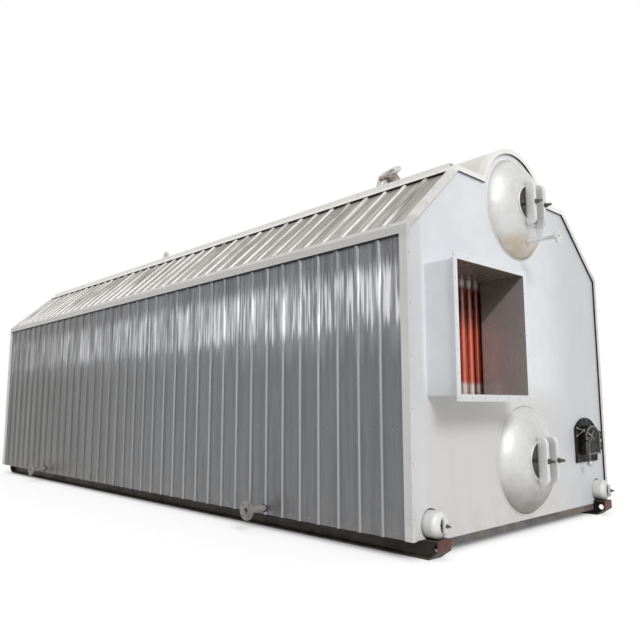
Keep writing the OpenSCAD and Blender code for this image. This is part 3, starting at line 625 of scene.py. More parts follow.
class Effects:
    """Surface effects that the finishes share, each a node group."""

    FLOAT = "NodeSocketFloat"
    COLOUR = "NodeSocketColor"
    VECTOR = "NodeSocketVector"
    FINE_SHARE = 0.35
    TONE_EDGES = (0.36, 0.64)
    RUN_STRETCH = (14.0, 14.0, 0.7)
    RUN_EDGES = (0.56, 0.74)
    PATCH_EDGES = (0.42, 0.66)
    SPLASH_EDGES = (0.34, 0.68)
    BREAK_EDGES = (0.40, 0.62)

    def __init__(self) -> None:
        """Builds every group once."""
        self.tone = self.tone_group()
        self.runs = self.runs_group()
        self.dust = self.dust_group()
        self.ripple = self.ripple_group()
        self.zone = self.zone_group()
        self.ribs = self.ribs_group()

    def start(self, name: str, inputs: dict[str, str], outputs: dict[str, str]) -> tuple[Wiring, dict, dict]:
        """Makes an empty group.

        Args:
            name: Name of the group.
            inputs: Socket types by input name.
            outputs: Socket types by output name.

        Returns:
            The group's wiring, its inputs by name and its outputs by name.
        """
        tree = bpy.data.node_groups.new(name, "ShaderNodeTree")
        for key, kind in inputs.items():
            tree.interface.new_socket(name=key, in_out="INPUT", socket_type=kind)
        for key, kind in outputs.items():
            tree.interface.new_socket(name=key, in_out="OUTPUT", socket_type=kind)
        wiring = Wiring(tree)
        entry = tree.nodes.new("NodeGroupInput")
        leave = tree.nodes.new("NodeGroupOutput")
        given = {key: entry.outputs[key] for key in inputs}
        wanted = {key: leave.inputs[key] for key in outputs}
        return wiring, given, wanted

    def tone_group(self) -> bpy.types.NodeTree:
        """Cloudy change between two tones, from stretched noise at two sizes.

        Returns:
            The node group.
        """
        wiring, given, wanted = self.start(
            "cloudy_tone",
            {"Vector": self.VECTOR, "Stretch": self.VECTOR, "Light": self.COLOUR, "Dark": self.COLOUR},
            {"Colour": self.COLOUR, "Mask": self.FLOAT})
        place = wiring.vector("MULTIPLY", given["Vector"], given["Stretch"]).outputs[0]
        wide = wiring.noise(place, scale=1.0, detail=4.0)
        fine = wiring.noise(place, scale=6.0, detail=3.0)
        both = wiring.math("MULTIPLY_ADD", fine, self.FINE_SHARE,
                           wiring.math("MULTIPLY", wide, 1.0 - self.FINE_SHARE))
        mask = wiring.smooth(both, *self.TONE_EDGES)
        wiring.feed(wanted["Colour"], wiring.blend(mask, given["Light"], given["Dark"]))
        wiring.feed(wanted["Mask"], mask)
        return wiring.tree

    def runs_group(self) -> bpy.types.NodeTree:
        """Run marks down a surface: noise that changes fast across and slowly down, kept where it peaks.

        Returns:
            The node group.
        """
        wiring, given, wanted = self.start(
            "run_marks",
            {"Vector": self.VECTOR, "Colour": self.COLOUR, "Stain": self.COLOUR, "Amount": self.FLOAT},
            {"Colour": self.COLOUR})
        place = wiring.vector("MULTIPLY", given["Vector"], self.RUN_STRETCH).outputs[0]
        peaks = wiring.smooth(wiring.noise(place, scale=1.0, detail=5.0), *self.RUN_EDGES)
        broad = wiring.smooth(wiring.noise(given["Vector"], scale=1.3, detail=2.0), *self.PATCH_EDGES)
        mask = wiring.math("MULTIPLY", wiring.math("MULTIPLY", peaks, broad), given["Amount"])
        wiring.feed(wanted["Colour"], wiring.blend(mask, given["Colour"], given["Stain"]))
        return wiring.tree

    def dust_group(self) -> bpy.types.NodeTree:
        """Dust and splashes that thin out with height above the ground.

        Returns:
            The node group.
        """
        wiring, given, wanted = self.start(
            "settled_dust",
            {"Vector": self.VECTOR, "Colour": self.COLOUR, "Dust": self.COLOUR, "Reach": self.FLOAT,
             "Amount": self.FLOAT},
            {"Colour": self.COLOUR, "Mask": self.FLOAT})
        height = wiring.node("ShaderNodeSeparateXYZ", Vector=given["Vector"]).outputs["Z"]
        low = wiring.math("SUBTRACT", 1.0, wiring.smooth(height, 0.0, given["Reach"]))
        cloud = wiring.smooth(wiring.noise(given["Vector"], scale=7.0, detail=6.0), *self.SPLASH_EDGES)
        mask = wiring.math("MULTIPLY", wiring.math("MULTIPLY", low, cloud), given["Amount"])
        wiring.feed(wanted["Colour"], wiring.blend(mask, given["Colour"], given["Dust"]))
        wiring.feed(wanted["Mask"], mask)
        return wiring.tree

    def ripple_group(self) -> bpy.types.NodeTree:
        """Height of a sheet that isn't quite flat: stretched noise.

        Returns:
            The node group.
        """
        wiring, given, wanted = self.start(
            "sheet_ripple", {"Vector": self.VECTOR, "Stretch": self.VECTOR}, {"Height": self.FLOAT})
        place = wiring.vector("MULTIPLY", given["Vector"], given["Stretch"]).outputs[0]
        wiring.feed(wanted["Height"], wiring.noise(place, scale=1.0, detail=1.5))
        return wiring.tree

    def zone_group(self) -> bpy.types.NodeTree:
        """Mask of a band along a direction, with soft ends and a ragged edge.

        Returns:
            The node group.
        """
        wiring, given, wanted = self.start(
            "zone_band",
            {"Vector": self.VECTOR, "Direction": self.VECTOR, "Low": self.FLOAT, "High": self.FLOAT,
             "Fade": self.FLOAT, "Fold": self.FLOAT, "Stretch": self.VECTOR, "Breakup": self.FLOAT,
             "Ragged": self.FLOAT},
            {"Mask": self.FLOAT})
        place = wiring.vector("MULTIPLY", given["Vector"], given["Stretch"]).outputs[0]
        noise = wiring.noise(place, scale=1.0, detail=4.0)
        plain = wiring.vector("DOT_PRODUCT", given["Vector"], given["Direction"]).outputs["Value"]
        along = wiring.math("MULTIPLY_ADD", wiring.math("SUBTRACT", noise, 0.5), given["Ragged"], plain)
        folded = wiring.node("ShaderNodeMix", {"data_type": "FLOAT"})
        wiring.feed(folded.inputs[0], given["Fold"])
        wiring.feed(folded.inputs[2], along)
        wiring.feed(folded.inputs[3], wiring.math("ABSOLUTE", along))
        reach = folded.outputs[0]
        rise = wiring.smooth(reach, wiring.math("SUBTRACT", given["Low"], given["Fade"]), given["Low"])
        fall = wiring.smooth(reach, given["High"], wiring.math("ADD", given["High"], given["Fade"]))
        band = wiring.math("MULTIPLY", rise, wiring.math("SUBTRACT", 1.0, fall))
        ragged = wiring.smooth(noise, *self.BREAK_EDGES)
        kept = wiring.math("SUBTRACT", 1.0, wiring.math("MULTIPLY", given["Breakup"],
                                                        wiring.math("SUBTRACT", 1.0, ragged)))
        wiring.feed(wanted["Mask"], wiring.math("MULTIPLY", band, kept))
        return wiring.tree

    def ribs_group(self) -> bpy.types.NodeTree:
        """Mask of stripes along the ribs, each between two distances from its rib's middle, for painted
        highlights.

        Returns:
            The node group.
        """
        wiring, given, wanted = self.start(
            "rib_highlight_stripes",
            {"Vector": self.VECTOR, "Start": self.FLOAT, "Low": self.FLOAT, "High": self.FLOAT,
             "Fade": self.FLOAT},
            {"Mask": self.FLOAT})
        along = wiring.node("ShaderNodeSeparateXYZ", Vector=given["Vector"]).outputs["Y"]
        from_low = wiring.math("SUBTRACT", along, wiring.math("ADD", given["Start"], given["Low"]))
        step = wiring.math("FLOORED_MODULO", from_low, RIB_PITCH)
        width = wiring.math("SUBTRACT", given["High"], given["Low"])
        rise = wiring.smooth(step, 0.0, given["Fade"])
        fall = wiring.smooth(step, wiring.math("SUBTRACT", width, given["Fade"]), width)
        wiring.feed(wanted["Mask"], wiring.math("SUBTRACT", rise, fall))
        return wiring.tree


@dataclass(frozen=True)
class RibHighlight:
    """A painted highlight: a stripe of another colour along every rib, from low to high across it, counted
    from its middle.
    """

    low: float
    high: float
    colour: Rgb
    fade: float = 0.004


@dataclass(frozen=True)
class Zone:
    """A band of another colour on a finish: real stains and paint, and also painted light and shade.

    low and high are distances along direction, fade the width of the soft ends, fold counts both ways
    from the middle, breakup is the share that stretched noise eats away, and ragged is how far the same
    noise shifts the ends. With a breakup above 1 only the noise's peaks keep the colour.
    """

    direction: Direction
    low: float
    high: float
    colour: Rgb
    fade: float = 0.05
    fold: bool = False
    breakup: float = 0.0
    stretch: Triple = even(6.0)
    ragged: float = 0.0


@dataclass(frozen=True)
class Finish:
    """One finish: tones, gloss, unevenness, stains, dust, and bands and rib stripes, some of which are
    painted light and shade.
    """

    light: Rgb
    dark: Rgb
    roughness: float
    metallic: float = 0.0
    roughness_spread: float = 0.08
    tone_stretch: Triple = even(1.2)
    ripple_stretch: Triple = even(2.0)
    ripple_depth: float = 0.0
    grain_scale: float = 220.0
    grain_depth: float = 0.0
    stain: Rgb = (0.30, 0.26, 0.21)
    stain_amount: float = 0.0
    dust: Rgb = (0.42, 0.37, 0.30)
    dust_reach: float = 0.0
    dust_amount: float = 0.0
    coat: float = 0.0
    coat_roughness: float = 0.15
    specular: float = 0.5
    zones: tuple[Zone, ...] = ()
    rib_highlights: tuple[RibHighlight, ...] = ()

    def material(self, name: str, effects: Effects) -> bpy.types.Material:
        """Builds the material.

        Args:
            name: Name of the material.
            effects: Shared node groups.

        Returns:
            The new material.
        """
        made = bpy.data.materials.new(name)
        wiring = Wiring.fresh(made)
        place = wiring.node("ShaderNodeTexCoord").outputs["Object"]
        tone = self.group(wiring, effects.tone, Vector=place, Stretch=self.tone_stretch,
                          Light=self.light, Dark=self.dark)
        colour = self.zoned(wiring, effects, place, tone.outputs["Colour"])
        if self.stain_amount > 0.0:
            runs = self.group(wiring, effects.runs, Vector=place, Colour=colour, Stain=self.stain,
                              Amount=self.stain_amount)
            colour = runs.outputs["Colour"]
        low, high = self.roughness - self.roughness_spread, self.roughness + self.roughness_spread
        rough = wiring.smooth(tone.outputs["Mask"], 0.0, 1.0, low, high)
        if self.dust_amount > 0.0:
            dust = self.group(wiring, effects.dust, Vector=place, Colour=colour, Dust=self.dust,
                              Reach=self.dust_reach, Amount=self.dust_amount)
            colour = dust.outputs["Colour"]
            rough = wiring.math("MULTIPLY_ADD", dust.outputs["Mask"], DUST_ROUGHNESS, rough)
        shader = wiring.node("ShaderNodeBsdfPrincipled", Base_Color=colour, Roughness=rough,
                             Metallic=self.metallic, Specular_IOR_Level=self.specular)
        if self.coat > 0.0:
            wiring.feed(shader.inputs["Coat Weight"], self.coat)
            wiring.feed(shader.inputs["Coat Roughness"], self.coat_roughness)
        normal = self.normal(wiring, effects, place)
        if normal is not None:
            wiring.feed(shader.inputs["Normal"], normal)
        wiring.node("ShaderNodeOutputMaterial", Surface=shader.outputs["BSDF"])
        return made

    @staticmethod
    def group(wiring: Wiring, tree: bpy.types.NodeTree, **inputs: object) -> bpy.types.Node:
        """Places one of the shared groups with its own values."""
        return wiring.node("ShaderNodeGroup", {"node_tree": tree}, **inputs)

    def zoned(self, wiring: Wiring, effects: Effects, place: bpy.types.NodeSocket,
              colour: bpy.types.NodeSocket) -> bpy.types.NodeSocket:
        """Lays the colours of the rib highlight stripes and then of the zones over the tone, one after the
        other.

        Args:
            wiring: The material's wiring.
            effects: Shared node groups.
            place: Object coordinates.
            colour: The tone's colour.

        Returns:
            The colour's socket.
        """
        start = float(Span.of("front_wall_upper").low[1]) + RIB_FIRST
        for line in self.rib_highlights:
            mark = self.group(wiring, effects.ribs, Vector=place, Start=start, Low=line.low, High=line.high,
                              Fade=line.fade)
            colour = wiring.blend(mark.outputs["Mask"], colour, line.colour)
        for zone in self.zones:
            band = self.group(wiring, effects.zone, Vector=place, Direction=zone.direction.value,
                              Low=zone.low, High=zone.high, Fade=zone.fade, Fold=float(zone.fold),
                              Stretch=zone.stretch, Breakup=zone.breakup, Ragged=zone.ragged)
            colour = wiring.blend(band.outputs["Mask"], colour, zone.colour)
        return colour

    def normal(self, wiring: Wiring, effects: Effects,
               place: bpy.types.NodeSocket) -> bpy.types.NodeSocket | None:
        """Bump of the sheet's ripple and of the fine grain.

        Args:
            wiring: The material's wiring.
            effects: Shared node groups.
            place: Object coordinates.

        Returns:
            The normal's socket, or None where the surface is even.
        """
        normal = None
        if self.ripple_depth > 0.0:
            ripple = self.group(wiring, effects.ripple, Vector=place, Stretch=self.ripple_stretch)
            normal = wiring.node("ShaderNodeBump", Height=ripple.outputs["Height"],
                                 Distance=self.ripple_depth).outputs[0]
        if self.grain_depth > 0.0:
            grain = wiring.noise(place, scale=self.grain_scale, detail=2.0)
            bump = wiring.node("ShaderNodeBump", Height=grain, Distance=self.grain_depth)
            if normal is not None:
                wiring.feed(bump.inputs["Normal"], normal)
            normal = bump.outputs[0]
        return normal


# Stretch of noise that changes fast along the casing and slowly down its sheets.
SHEET_DOWN = (0.7, 16.0, 0.7)
FINISHES: dict[Coat, Finish] = {
    Coat.WALL: Finish(
        light=(0.186, 0.189, 0.196), dark=(0.164, 0.167, 0.174), roughness=0.36, metallic=0.55,
        tone_stretch=SHEET_DOWN, ripple_stretch=(0.5, 11.0, 0.6), ripple_depth=0.006, grain_scale=900.0,
        grain_depth=0.0002, stain=(0.16, 0.155, 0.15), stain_amount=0.25, dust=(0.33, 0.31, 0.28),
        dust_reach=0.6, dust_amount=0.35,
        # Painted shade: the wall darkens towards the rear.
        zones=(Zone(Direction.REAR, 3.6, 9.0, (0.125, 0.123, 0.118), fade=5.2),
               # Painted sheen: a broad lighter band high on the wall.
               Zone(Direction.UP, 1.72, 2.20, (0.27, 0.275, 0.285), fade=0.32, breakup=0.5, ragged=0.6,
                    stretch=(0.8, 14.0, 0.8)),
               # Painted shade in dark streaks along the top of the wall.
               Zone(Direction.UP, 2.16, 9.0, (0.145, 0.147, 0.155), fade=0.12, breakup=0.9, ragged=0.6,
                    stretch=(0.7, 33.0, 0.7)),
               # Painted glints: clusters and fine bright streaks in the sheen band, not a mirror image of the
               # surroundings.
               Zone(Direction.UP, 1.86, 2.06, (0.50, 0.505, 0.52), fade=0.16, breakup=1.3, ragged=0.7,
                    stretch=(0.9, 6.5, 0.9)),
               Zone(Direction.UP, 1.82, 2.10, (0.80, 0.805, 0.82), fade=0.16, breakup=1.6, ragged=0.7,
                    stretch=(1.3, 36.0, 1.3)),
               # Painted shade towards the rear, which also dims the painted glints there.
               Zone(Direction.REAR, 4.4, 9.0, (0.150, 0.150, 0.148), fade=7.0, breakup=0.45,
                    stretch=(0.9, 20.0, 1.4))),
        # Painted highlight along each rib of the wall.
        rib_highlights=(RibHighlight(-0.021, -0.004, (0.36, 0.365, 0.375)),)),
    Coat.ROOF: Finish(
        light=(0.55, 0.53, 0.50), dark=(0.25, 0.235, 0.215), roughness=0.42, metallic=0.25,
        tone_stretch=(1.2, 24.0, 1.2), ripple_stretch=(0.8, 7.0, 0.8), ripple_depth=0.004, grain_scale=700.0,
        grain_depth=0.0002, stain=(0.30, 0.27, 0.235), stain_amount=0.5,
        zones=(Zone(Direction.UP, 2.80, 9.0, (0.26, 0.24, 0.215), fade=0.35, breakup=0.9, ragged=0.4,
                    stretch=(1.4, 18.0, 1.4)),),
        # Painted highlight: bright stripes along the roof's ribs.
        rib_highlights=(RibHighlight(-0.025, -0.003, (0.86, 0.85, 0.83)),)),
    Coat.PANEL: Finish(
        light=(0.82, 0.84, 0.865), dark=(0.76, 0.78, 0.805), roughness=0.42, metallic=0.05,
        ripple_stretch=(1.3, 1.3, 1.1), ripple_depth=0.010, grain_scale=600.0, grain_depth=0.0003,
        stain=(0.55, 0.51, 0.45), stain_amount=0.18, dust=(0.52, 0.47, 0.41), dust_reach=0.55,
        dust_amount=0.30,
        zones=(Zone(Direction.UP, -1.0, 1.0, (0.67, 0.66, 0.65), fade=0.35),
               # Painted shade: the panel darkens towards its right edge.
               Zone(Direction.RIGHT, 1.1, 9.0, (0.61, 0.625, 0.64), fade=0.9),
               # Painted shade on the panel's strip beside its left corner.
               Zone(Direction.LEFT, 1.44, 9.0, (0.68, 0.69, 0.70), fade=0.06))),
    Coat.TRIM: Finish(
        light=(0.78, 0.775, 0.75), dark=(0.69, 0.68, 0.65), roughness=0.40, metallic=0.05,
        tone_stretch=even(4.0), ripple_stretch=even(5.0), ripple_depth=0.002, grain_scale=700.0,
        grain_depth=0.0002, stain=(0.40, 0.36, 0.31), stain_amount=0.45, dust=(0.45, 0.41, 0.36),
        dust_reach=0.5, dust_amount=0.4,
        # Painted shade: a darker band at the eaves' height.
        zones=(Zone(Direction.UP, 2.30, 2.46, (0.60, 0.595, 0.575), fade=0.04),
               # Painted shade on the trim below the eaves.
               Zone(Direction.UP, -1.0, 2.26, (0.66, 0.655, 0.64), fade=0.06, breakup=0.3),
               # Painted light: the trim above the roof slopes is lighter.
               Zone(Direction.UP, 3.0, 9.0, (0.92, 0.905, 0.87), fade=0.06))),
    Coat.LAGGING: Finish(
        light=(0.82, 0.81, 0.78), dark=(0.74, 0.73, 0.69), roughness=0.38, metallic=0.25,
        tone_stretch=(2.0, 1.0, 2.0), ripple_stretch=(3.0, 1.6, 3.0), ripple_depth=0.004, grain_scale=800.0,
        grain_depth=0.0002, stain=(0.42, 0.38, 0.33), stain_amount=0.35),
    Coat.SILVER: Finish(
        light=(0.70, 0.70, 0.695), dark=(0.60, 0.60, 0.59), roughness=0.45, metallic=0.40,
        tone_stretch=even(2.5), ripple_stretch=even(6.0), ripple_depth=0.0015, grain_scale=420.0,
        grain_depth=0.0005, stain=(0.50, 0.43, 0.33), stain_amount=0.25, coat=0.15,
        zones=(Zone(Direction.UP, 2.30, 2.47, (0.50, 0.40, 0.28), fade=0.16, breakup=0.5),
               # Painted shade: the drum heads darken near the ground.
               Zone(Direction.UP, 0.0, 0.22, (0.27, 0.25, 0.23), fade=0.36, breakup=0.15))),
    Coat.STEEL: Finish(
        light=(0.42, 0.41, 0.40), dark=(0.30, 0.29, 0.28), roughness=0.46, metallic=0.8,
        tone_stretch=even(9.0), grain_scale=500.0, grain_depth=0.0004, stain=(0.23, 0.15, 0.10),
        stain_amount=0.6),
    Coat.PRIMER: Finish(
        light=(0.84, 0.155, 0.070), dark=(0.60, 0.082, 0.038), roughness=0.26,
        coat=1.0, coat_roughness=0.06, specular=1.0, tone_stretch=(9.0, 9.0, 2.0), grain_scale=300.0,
        grain_depth=0.0006, stain=(0.16, 0.05, 0.03), stain_amount=0.5,
        zones=(Zone(Direction.UP, 0.9, 1.235, (0.80, 0.76, 0.72), fade=0.05, breakup=0.25),
               Zone(Direction.UP, 1.88, 2.03, (0.28, 0.035, 0.020), fade=0.22, breakup=0.2),
               Zone(Direction.UP, 2.11, 2.4, (0.80, 0.74, 0.71), fade=0.05, breakup=0.15))),
    Coat.NOZZLE: Finish(
        light=(0.76, 0.755, 0.74), dark=(0.66, 0.645, 0.62), roughness=0.46, metallic=0.1,
        tone_stretch=even(14.0), grain_scale=350.0, grain_depth=0.0006, stain=(0.42, 0.22, 0.16),
        stain_amount=0.2, dust=(0.36, 0.32, 0.27), dust_reach=0.5, dust_amount=0.5,
        zones=(Zone(Direction.UP, 3.1, 3.34, (0.27, 0.15, 0.12), fade=0.04, breakup=0.6,
                    stretch=even(18.0)),
               Zone(Direction.UP, -1.0, 0.4, (0.20, 0.195, 0.19), fade=0.05, breakup=0.2))),
    Coat.CASTING: Finish(
        light=(0.015, 0.015, 0.015), dark=(0.006, 0.006, 0.006), roughness=0.42,
        tone_stretch=even(16.0), ripple_stretch=even(22.0), ripple_depth=0.002,
        grain_scale=260.0, grain_depth=0.0012, stain=(0.12, 0.11, 0.10), stain_amount=0.5, specular=0.12),
    Coat.RUNNER: Finish(
        light=(0.028, 0.023, 0.018), dark=(0.016, 0.013, 0.010), roughness=0.55,
        tone_stretch=(5.0, 2.0, 8.0), grain_scale=240.0, grain_depth=0.0008, stain=(0.10, 0.075, 0.055),
        stain_amount=0.5, dust=(0.20, 0.17, 0.13), dust_reach=0.16, dust_amount=0.45,
        zones=(Zone(Direction.FRONT, 4.3775, 9.0, (0.115, 0.035, 0.028), fade=0.004, fold=True, breakup=0.35,
                    stretch=even(22.0)),)),
    Coat.SILL: Finish(
        light=(0.120, 0.120, 0.118), dark=(0.070, 0.068, 0.065), roughness=0.55, metallic=0.1,
        tone_stretch=(7.0, 7.0, 14.0), grain_scale=300.0, grain_depth=0.0006, stain=(0.60, 0.58, 0.55),
        stain_amount=0.25, dust=(0.22, 0.19, 0.155), dust_reach=0.2, dust_amount=0.5,
        zones=(Zone(Direction.RIGHT, 0.75, 9.0, (0.135, 0.085, 0.070), fade=0.30, breakup=0.55),)),
    Coat.LEVER: Finish(
        light=(0.24, 0.23, 0.215), dark=(0.11, 0.105, 0.10), roughness=0.36, metallic=0.6,
        tone_stretch=even(20.0), grain_scale=400.0, grain_depth=0.0004,
        zones=(Zone(Direction.UP, 0.0, 0.540, (0.50, 0.495, 0.48), fade=0.003),)),
    Coat.LINER: Finish(
        light=(0.52, 0.485, 0.475), dark=(0.44, 0.405, 0.395), roughness=0.30, metallic=0.35,
        tone_stretch=(3.0, 3.0, 1.2), ripple_stretch=(3.0, 3.0, 2.0), ripple_depth=0.004, grain_scale=500.0,
        grain_depth=0.0003, stain=(0.14, 0.10, 0.085), stain_amount=0.3,
        # Painted shadow: the liner is darker above a line that slants down towards the rear, where the duct's
        # ceiling shades it.
        zones=(Zone(Direction.REAR_AND_UP, -1.426, 9.0, (0.24, 0.22, 0.20), fade=0.008),)),
    # Near-black: foam closures and collars, and also the dark strips and gap fills of painted shade.
    Coat.FOAM: Finish(
        light=(0.012, 0.012, 0.012), dark=(0.006, 0.006, 0.006), roughness=0.9,
        tone_stretch=even(30.0), grain_scale=300.0, grain_depth=0.002),
    Coat.BOLT: Finish(
        light=(0.19, 0.185, 0.18), dark=(0.11, 0.105, 0.10), roughness=0.42, metallic=0.75,
        tone_stretch=even(30.0), grain_scale=500.0, grain_depth=0.0004, stain=(0.22, 0.13, 0.08),
        stain_amount=0.4),
    Coat.HEADER: Finish(
        light=(0.80, 0.80, 0.79), dark=(0.70, 0.70, 0.69), roughness=0.42, metallic=0.1,
        tone_stretch=even(6.0), grain_scale=420.0, grain_depth=0.0005, stain=(0.40, 0.36, 0.31),
        stain_amount=0.3, zones=(Zone(Direction.UP, 0.0, 0.15, (0.34, 0.32, 0.30), fade=0.09, breakup=0.3),)),
}


class PaintShop:
    """Makes each finish's material once and paints the CAD nodes."""

    # The covers take the dark bolt finish, darker than bare steel: on the recessed manhole covers this is
    # painted shade inside the opening.
    OWN_COATS = {"latch_lever": Coat.LEVER, "upper_front_cover": Coat.BOLT, "upper_rear_cover": Coat.BOLT,
                 "lower_cover": Coat.BOLT, "hand_hole_covers": Coat.BOLT, "left_header": Coat.HEADER,
                 "right_header": Coat.HEADER, "front_head_nozzle": Coat.HEADER,
                 "rear_head_nozzle": Coat.HEADER}

    def __init__(self) -> None:
        """Builds the shared effects."""
        self.effects = Effects()
        self.made: dict[Coat, bpy.types.Material] = {}

    def material(self, coat: Coat) -> bpy.types.Material:
        """The material of a finish, built when it is first asked for.

        Args:
            coat: Finish.

        Returns:
            The material.
        """
        if coat not in self.made:
            self.made[coat] = FINISHES[coat].material(coat.value, self.effects)
        return self.made[coat]

    def paint_nodes(self) -> None:
        """Gives every CAD node the finish of its record slot, or its own."""
        slots = {row["node"]: row["material_slot"] for row in frame["record"]["subparts"]}
        for name, node in frame["nodes"].items():
            coat = self.OWN_COATS.get(name, Coat(slots[name]))
            node.data.materials.clear()
            node.data.materials.append(self.material(coat))
            LOG.info("painted %s: %s", name, coat.value)


@dataclass(frozen=True)
class Yoke:
    """A cast yoke with the washer and nut on its stud."""

    thick: float = 0.044
    foot: float = 0.020
    stud: float = 0.024
    nut_across: float = 0.036
    nut_height: float = 0.020
    washer_wide: float = 0.046
    washer_thick: float = 0.004
    edge_power: float = 5.5
    tip_power: float = 30.0
    tip_width: float = 0.25
    tip_depth: float = 0.15

    def casting(self, depth: float, length: float, outward: Direction) -> Surface:
        """The yoke with its flat back at Y 0.

        The section is a rounded rectangle. Its depth is even along the middle and falls to the foot along
        a quarter circle at both ends, and the section shrinks in a tight round at both tips.

        Args:
            depth: Depth along the middle.
            length: Length along Z.
            outward: End of the boiler that it stands out towards.

        Returns:
            The closed surface.
        """
        share = np.sin(np.linspace(-1.0, 1.0, num=41) * math.pi / 2.0)
        corner = depth - self.foot
        over = np.clip(np.abs(share) * length / 2.0 - length / 2.0 + corner, 0.0, corner)
        deep = self.foot + np.sqrt(corner ** 2 - over ** 2)
        tip = np.sqrt(1.0 - np.abs(share) ** self.tip_power)
        wide = self.thick * (self.tip_width + (1.0 - self.tip_width) * tip)
        tall = deep * (self.tip_depth + (1.0 - self.tip_depth) * tip)
        section = round_profile(1.0, 1.0, power=self.edge_power, count=36)
        x = wide[:, None] * section[None, :, 0]
        y = -deep[:, None] / 2.0 + tall[:, None] * section[None, :, 1]
        z = np.broadcast_to(share[:, None] * length / 2.0, x.shape)
        return Surface.from_rings(np.stack([x, y, z], axis=-1)).mirrored((1.0, -outward.value[1], 1.0))

    def nuts(self, outward: Direction) -> Surface:
        """A washer and a nut on it, facing outwards from the origin."""
        lift = Direction.UP.array * self.washer_thick
        nut = hex_nut(self.nut_across, self.nut_height, self.stud).moved(lift)
        return Surface.join([washer(self.washer_wide, self.washer_thick), nut]).turned(outward.array)


def head_face(dish: Span, outward: Direction, off_axis: np.ndarray | float) -> np.ndarray | float:
    """Y of a dished head's outside: an ellipsoid half as deep as its radius, on a short straight skirt.

    Args:
        dish: Box of the head.
        outward: End of the boiler that it faces.
        off_axis: Distance from the drum's axis.

    Returns:
        Y at that distance.
    """
    radius = dish.size[0] / 2.0
    bulge = radius / 2.0 * np.sqrt(1.0 - (off_axis / radius) ** 2)
    return dish.inner(outward) + outward.value[1] * (HEAD_SKIRT + bulge)


@dataclass
class Manhole:
    """Cast yokes, nuts and rim of one drum manhole."""

    head: str
    yokes: str
    outward: Direction
    fitting: Yoke = Yoke()
    opening: tuple[float, float] = (0.420, 0.360)
    rim_width: float = 0.020

    def build(self, maker: PieceMaker) -> None:
        """Makes the pieces."""
        span = Span.of(self.yokes)
        gap = span.size[0] - self.fitting.thick
        sideways = np.array([[-gap / 2.0], [gap / 2.0]]) * Direction.RIGHT.array
        seat = np.array([span.middle[0], span.inner(self.outward), span.middle[2]])
        castings = self.fitting.casting(span.size[1], span.size[2], self.outward).copies(sideways + seat)
        piece = maker.make(castings, f"{self.yokes}_cast", Coat.HEADER, Coat.SILVER)
        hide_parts(self.yokes)
        front = seat + self.outward.array * span.size[1]
        nuts = self.fitting.nuts(self.outward).copies(sideways + front)
        maker.make(nuts, f"{self.yokes}_nuts", Coat.BOLT, Coat.STEEL)
        maker.make(self.rim(), f"{self.head}_rim", Coat.SILVER, Coat.SILVER)

    def rim(self) -> Surface:
        """Rounded lip round the opening: a circle carried along the opening's oval on the head's outside.

        Returns:
            The closed surface.
        """
        dish = Span.of(self.head)
        _, ring = unit_circle(ROUND_POINTS)
        oval = ring * np.array(self.opening) / 2.0
        face = head_face(dish, self.outward, np.linalg.norm(oval, axis=1))
        path = upright(oval, face) + Direction.UP.array * dish.middle[2]
        section = round_profile(self.rim_width, self.rim_width, count=10)
        return carry(section, path, upright(ring), self.outward.array, closed=True)


@dataclass
class HandHoles:
    """Cast yokes and nuts of the hand-holes at the header ends."""

    depth: float = 0.030
    fitting: Yoke = Yoke(thick=0.026, foot=0.010, stud=0.014, nut_across=0.024, nut_height=0.012,
                         washer_wide=0.030, washer_thick=0.003)

    def build(self, maker: PieceMaker) -> None:
        """Makes the pieces at both ends of both headers."""
        span = Span.of("hand_hole_yokes")
        headers = [Span.of("left_header").middle, Span.of("right_header").middle]
        yokes, nuts = [], []
        for end in (Direction.FRONT, Direction.REAR):
            front = np.array([[middle[0], span.outer(end), middle[2]] for middle in headers])
            back = front - end.array * self.depth
            yokes.append(self.fitting.casting(self.depth, span.size[2], end).copies(back))
            nuts.append(self.fitting.nuts(end).copies(front))
        piece = maker.make(Surface.join(yokes), "hand_hole_yokes_cast", Coat.HEADER, Coat.SILVER)
        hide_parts("hand_hole_yokes")
        maker.make(Surface.join(nuts), "hand_hole_nuts", Coat.BOLT, Coat.STEEL)


